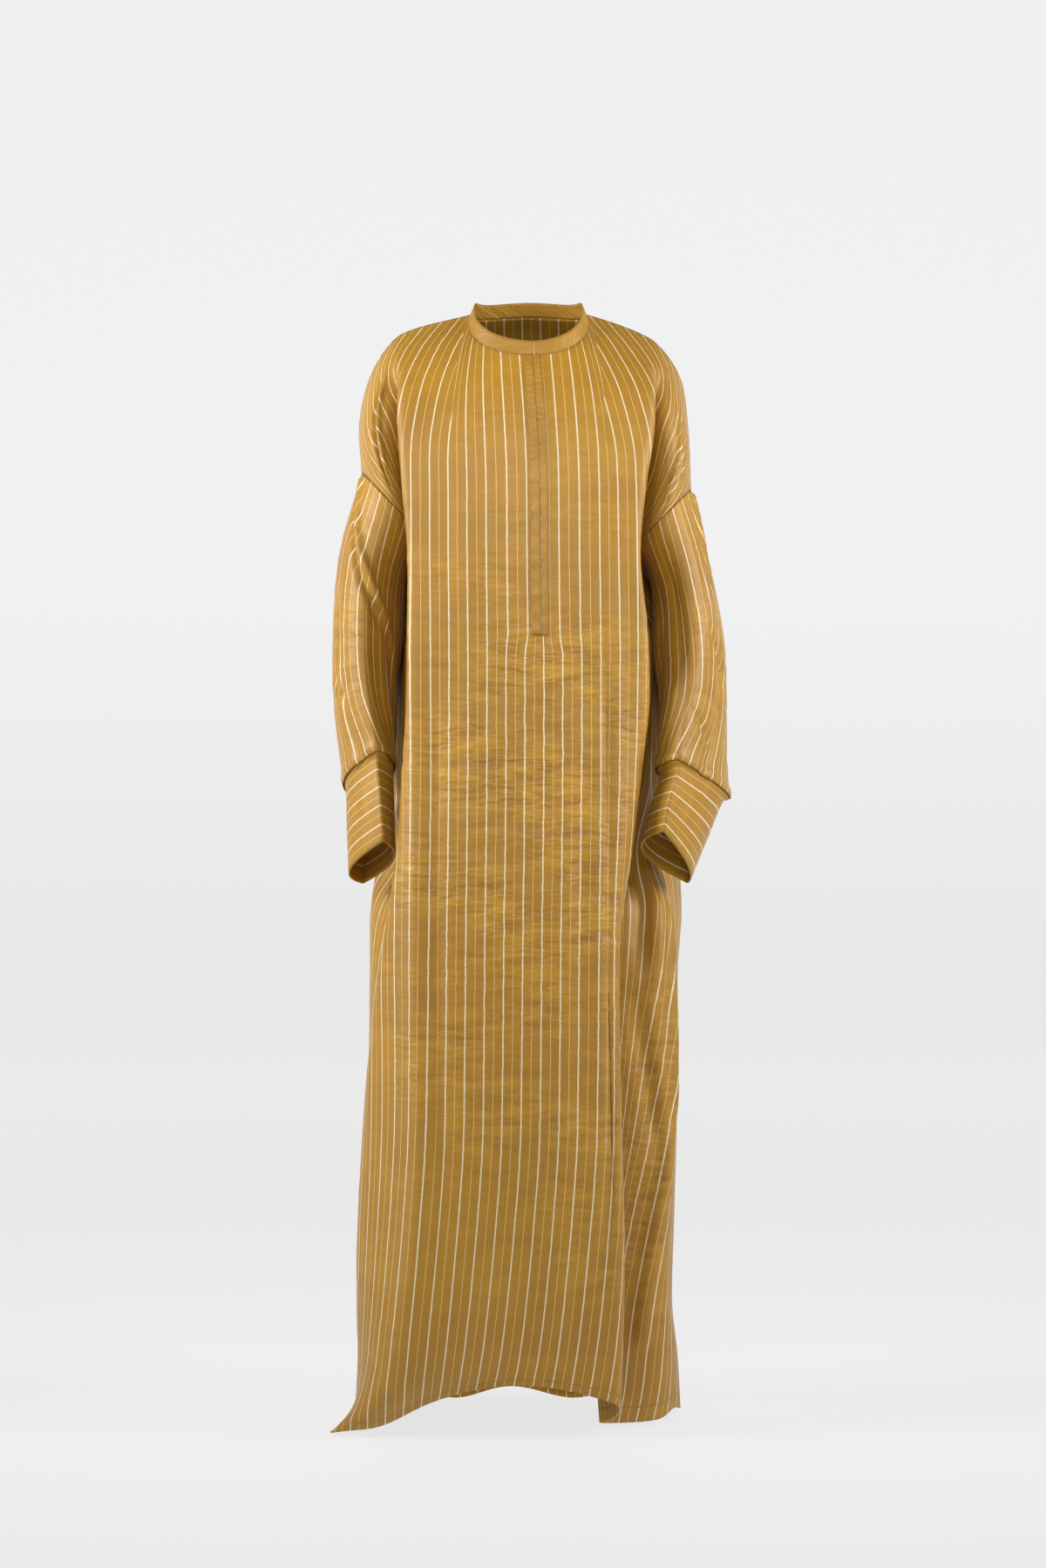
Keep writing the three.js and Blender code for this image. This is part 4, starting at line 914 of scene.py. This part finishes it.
def cloth_material(name, striped, stitch_line, dull=0.0, crinkle=1.0):
    """The satin, striped or plain; dull is for its reverse."""
    material = bpy.data.materials.new(name)
    material.use_nodes = True
    tree = material.node_tree
    tree.nodes.clear()
    flat = add_node(tree, "ShaderNodeUVMap", uv_map="flat")
    where = add_node(tree, "ShaderNodeSeparateXYZ", {0: flat.outputs[0]})
    across, down = where.outputs[0], where.outputs[1]
    fields = {key: add_node(tree, "ShaderNodeAttribute", attribute_name=key).outputs["Fac"]
              for key in ("hem_distance", "seam_distance", "crinkle")}
    satin = add_node(tree, "ShaderNodeGroup", node_tree=SATIN)
    crinkled = times(tree, fields["crinkle"], crinkle)
    for key, source in (("Across", across), ("Down", down), ("Crinkle", crinkled),
                        ("Seam", fields["seam_distance"])):
        tree.links.new(source, satin.inputs[key])
    # Low tone brings in the darker ground, high tone the full ground: random patches, painted light and
    # shade on the crinkles, painted shade in the seam grooves
    tone_and_shading = between_values(tree, satin.outputs["Tone and painted shading"], *TONE_AND_SHADING_RANGE)
    colour, height = layered(tree, GROUND_SHADE, tone_and_shading, GROUND), satin.outputs["Height"]
    if striped:
        repeat = STRIPE_REPEAT / 1000
        shifted = calc(tree, "ADD", across, repeat * REPEATS_ABOVE_ZERO - WHITE_PHASE)
        shifted = calc(tree, "ADD", shifted, satin.outputs["Slip"])
        nearest = calc(tree, "PINGPONG", shifted, repeat / 2)
        opposite = calc(tree, "SUBTRACT", repeat / 2, nearest)
        thread = between_values(tree, pattern(tree, across, down, "thread"), *THREAD_WEAR)
        white = times(tree, between_values(tree, nearest, *WHITE_HALF), thread)
        faint = between_values(tree, opposite, *FAINT_HALF)
        colour = layered(tree, colour, times(tree, faint, FAINT_SHARE), FAINT_THREAD)
        colour = layered(tree, colour, white, WHITE_THREAD)
        height = calc(tree, "ADD", height, times(tree, white, STRIPE_HEIGHT))
    # A row of stitches holds the turned edge.
    off_line = calc(tree, "SUBTRACT", fields["hem_distance"], stitch_line / 1000)
    off_line = calc(tree, "ABSOLUTE", off_line)
    line = between_values(tree, off_line, *STITCH_HALF)
    along_line = calc(tree, "PINGPONG", across if striped else down, STITCH_LENGTH)
    dash = between_values(tree, along_line, *STITCH_GAP)
    beside = between_values(tree, off_line, *GATHER_HALF)
    gather = calc(tree, "SUBTRACT", pattern(tree, across, down, "gather"), 0.5)
    height = calc(tree, "ADD", height, times(tree, gather, times(tree, beside, GATHER_HEIGHT)))
    height = calc(tree, "SUBTRACT", height, times(tree, line, STITCH_DEPTH))
    colour = layered(tree, colour, times(tree, times(tree, line, dash), STITCH_SHARE), STITCH)
    bump = add_node(tree, "ShaderNodeBump", {"Height": height, "Strength": 1.0, "Distance": 0.001})
    shader = add_node(tree, "ShaderNodeBsdfPrincipled", {
        "Base Color": colour, "Normal": bump.outputs[0],
        "Roughness": calc(tree, "ADD", satin.outputs["Roughness"], dull),
        "Specular IOR Level": 0.5 - dull, "Sheen Weight": 0.10, "Sheen Roughness": 0.35,
        "Sheen Tint": (1.0, 0.86, 0.62, 1)})
    out = add_node(tree, "ShaderNodeOutputMaterial")
    tree.links.new(shader.outputs[0], out.inputs[0])
    return material


striped_cloth = cloth_material("striped satin", True, HEM_STITCH)
striped_reverse = cloth_material("striped satin reverse", True, HEM_STITCH, dull=0.25, crinkle=0.7)
band_cloth = cloth_material("plain satin", False, EDGE_STITCH, crinkle=1.8)


def finish_piece(piece, node, outer, inner, slot, flat, area=None):
    piece.data.materials.append(outer)
    piece.data.materials.append(inner)
    piece.modifiers["thickness"].material_offset = 1
    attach(piece, "root")
    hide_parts(node)


striped = (striped_cloth, striped_reverse, "striped_cloth")
plain = (band_cloth, band_cloth, "band_cloth")
finish_piece(front, "front", *striped, (0.84, 1.45), 1.07)
finish_piece(back, "back", *striped, (0.70, 1.49), 0.91)
for side_name in SIDES:
    finish_piece(sleeves[side_name], f"sleeve_{side_name}", *striped, (0.49, 0.40), 0.16)
    finish_piece(cuffs[side_name], f"cuff_{side_name}", *striped, (0.33, 0.13), 0.04)
finish_piece(neckband, "neckband", *plain, (0.35, 0.02))
for strip, side_name in zip(strips, ("right", "left")):
    finish_piece(strip, f"opening_strip_{side_name}", *plain, (0.0105, 0.39))

# Floor and backdrop in one sweep, with the even light that the studio throws on them. Metres.
SWEEP_RUN = (-2.6, 6.4, 6.5)  # front edge of the floor, start of the curve, and the wall's height
SWEEP_HALF = 9
SWEEP_RADIUS = 1.6
SWEEP_STEPS = 24
FLOOR_GAP = 0.002
GLOW_RISE = 1.5  # the height over which the floor's glow turns into the wall's
PAPER = (0.12, 0.12, 0.121, 1)
FLOOR_GLOW = (0.76, 0.76, 0.762, 1)
WALL_GLOW = (0.83, 0.83, 0.832, 1)
floor_level = FLOOR / 1000
sweep = bmesh.new()
profile = [(SWEEP_RUN[0], 0), (SWEEP_RUN[1], 0)]
profile += [(SWEEP_RUN[1] + SWEEP_RADIUS * math.sin(a), SWEEP_RADIUS * (1 - math.cos(a)))
            for a in np.linspace(0, math.pi / 2, SWEEP_STEPS)[1:]]
profile += [(SWEEP_RUN[1] + SWEEP_RADIUS, SWEEP_RUN[2])]
line = [sweep.verts.new((-SWEEP_HALF, y, z + floor_level - FLOOR_GAP)) for y, z in profile]
edges = [sweep.edges.new(pair) for pair in zip(line, line[1:])]
pushed = bmesh.ops.extrude_edge_only(sweep, edges=edges)["geom"]
far = [g for g in pushed if isinstance(g, bmesh.types.BMVert)]
bmesh.ops.translate(sweep, verts=far, vec=(2 * SWEEP_HALF, 0, 0))
bmesh.ops.recalc_face_normals(sweep, faces=sweep.faces)
sweep_mesh = bpy.data.meshes.new("backdrop")
sweep.to_mesh(sweep_mesh)
sweep.free()
for polygon in sweep_mesh.polygons:
    polygon.use_smooth = True
backdrop = bpy.data.objects.new("backdrop", sweep_mesh)
bpy.context.scene.collection.objects.link(backdrop)
paper = bpy.data.materials.new("backdrop paper")
paper.use_nodes = True
paper_tree = paper.node_tree
paper_shader = paper_tree.nodes["Principled BSDF"]
place = add_node(paper_tree, "ShaderNodeTexCoord").outputs["Object"]
level = add_node(paper_tree, "ShaderNodeSeparateXYZ", {0: place}).outputs[2]
level = between_values(paper_tree, level, floor_level, floor_level + GLOW_RISE)
glow = layered(paper_tree, FLOOR_GLOW, level, WALL_GLOW)
paper_tree.links.new(glow, paper_shader.inputs["Emission Color"])
for key, value in (("Base Color", PAPER), ("Roughness", 0.9), ("Emission Strength", 1.0),
                   ("Specular IOR Level", 0.1)):
    paper_shader.inputs[key].default_value = value
sweep_mesh.materials.append(paper)

# Soft studio light: two sides, one from the front that fades downwards, and a little from above
WORLD_LIGHT = 0.10
LIGHT_COLUMNS = ("name", "place", "aim", "size", "power", "spread")
LIGHTS = table(LIGHT_COLUMNS, [
    ("right side", (-2.6, -0.8, 0.5), (0, 0, -0.26), (1.2, 1.4), 19, 76),
    ("left side", (2.6, -0.9, 0.5), (0, 0, -0.26), (1.2, 1.4), 16, 76),
    ("front", (-0.2, -2.8, 0.7), (0, 0, -0.08), (2.2, 0.8), 6.8, 62),
    ("top", (0, -0.3, 2.2), (0, 0, -0.6), (1.8, 1.2), 2, 180),
])
world = bpy.data.worlds.new("studio")
bpy.context.scene.world = world
world.use_nodes = True
world.node_tree.nodes["Background"].inputs[0].default_value = (1, 1, 1, 1)
world.node_tree.nodes["Background"].inputs[1].default_value = WORLD_LIGHT
for row in LIGHTS:
    data = bpy.data.lights.new(row["name"], "AREA")
    data.shape = "RECTANGLE"
    data.size, data.size_y = row["size"]
    data.energy = row["power"]
    data.spread = math.radians(row["spread"])
    light = bpy.data.objects.new(row["name"], data)
    light.location = row["place"]
    way = np.array(row["aim"]) - np.array(row["place"])
    tilt, turn = math.atan2(math.hypot(way[0], way[1]), -way[2]), math.atan2(-way[0], way[1])
    light.rotation_euler = (tilt, 0, turn)
    bpy.context.scene.collection.objects.link(light)
bpy.context.scene.view_settings.view_transform = "Standard"
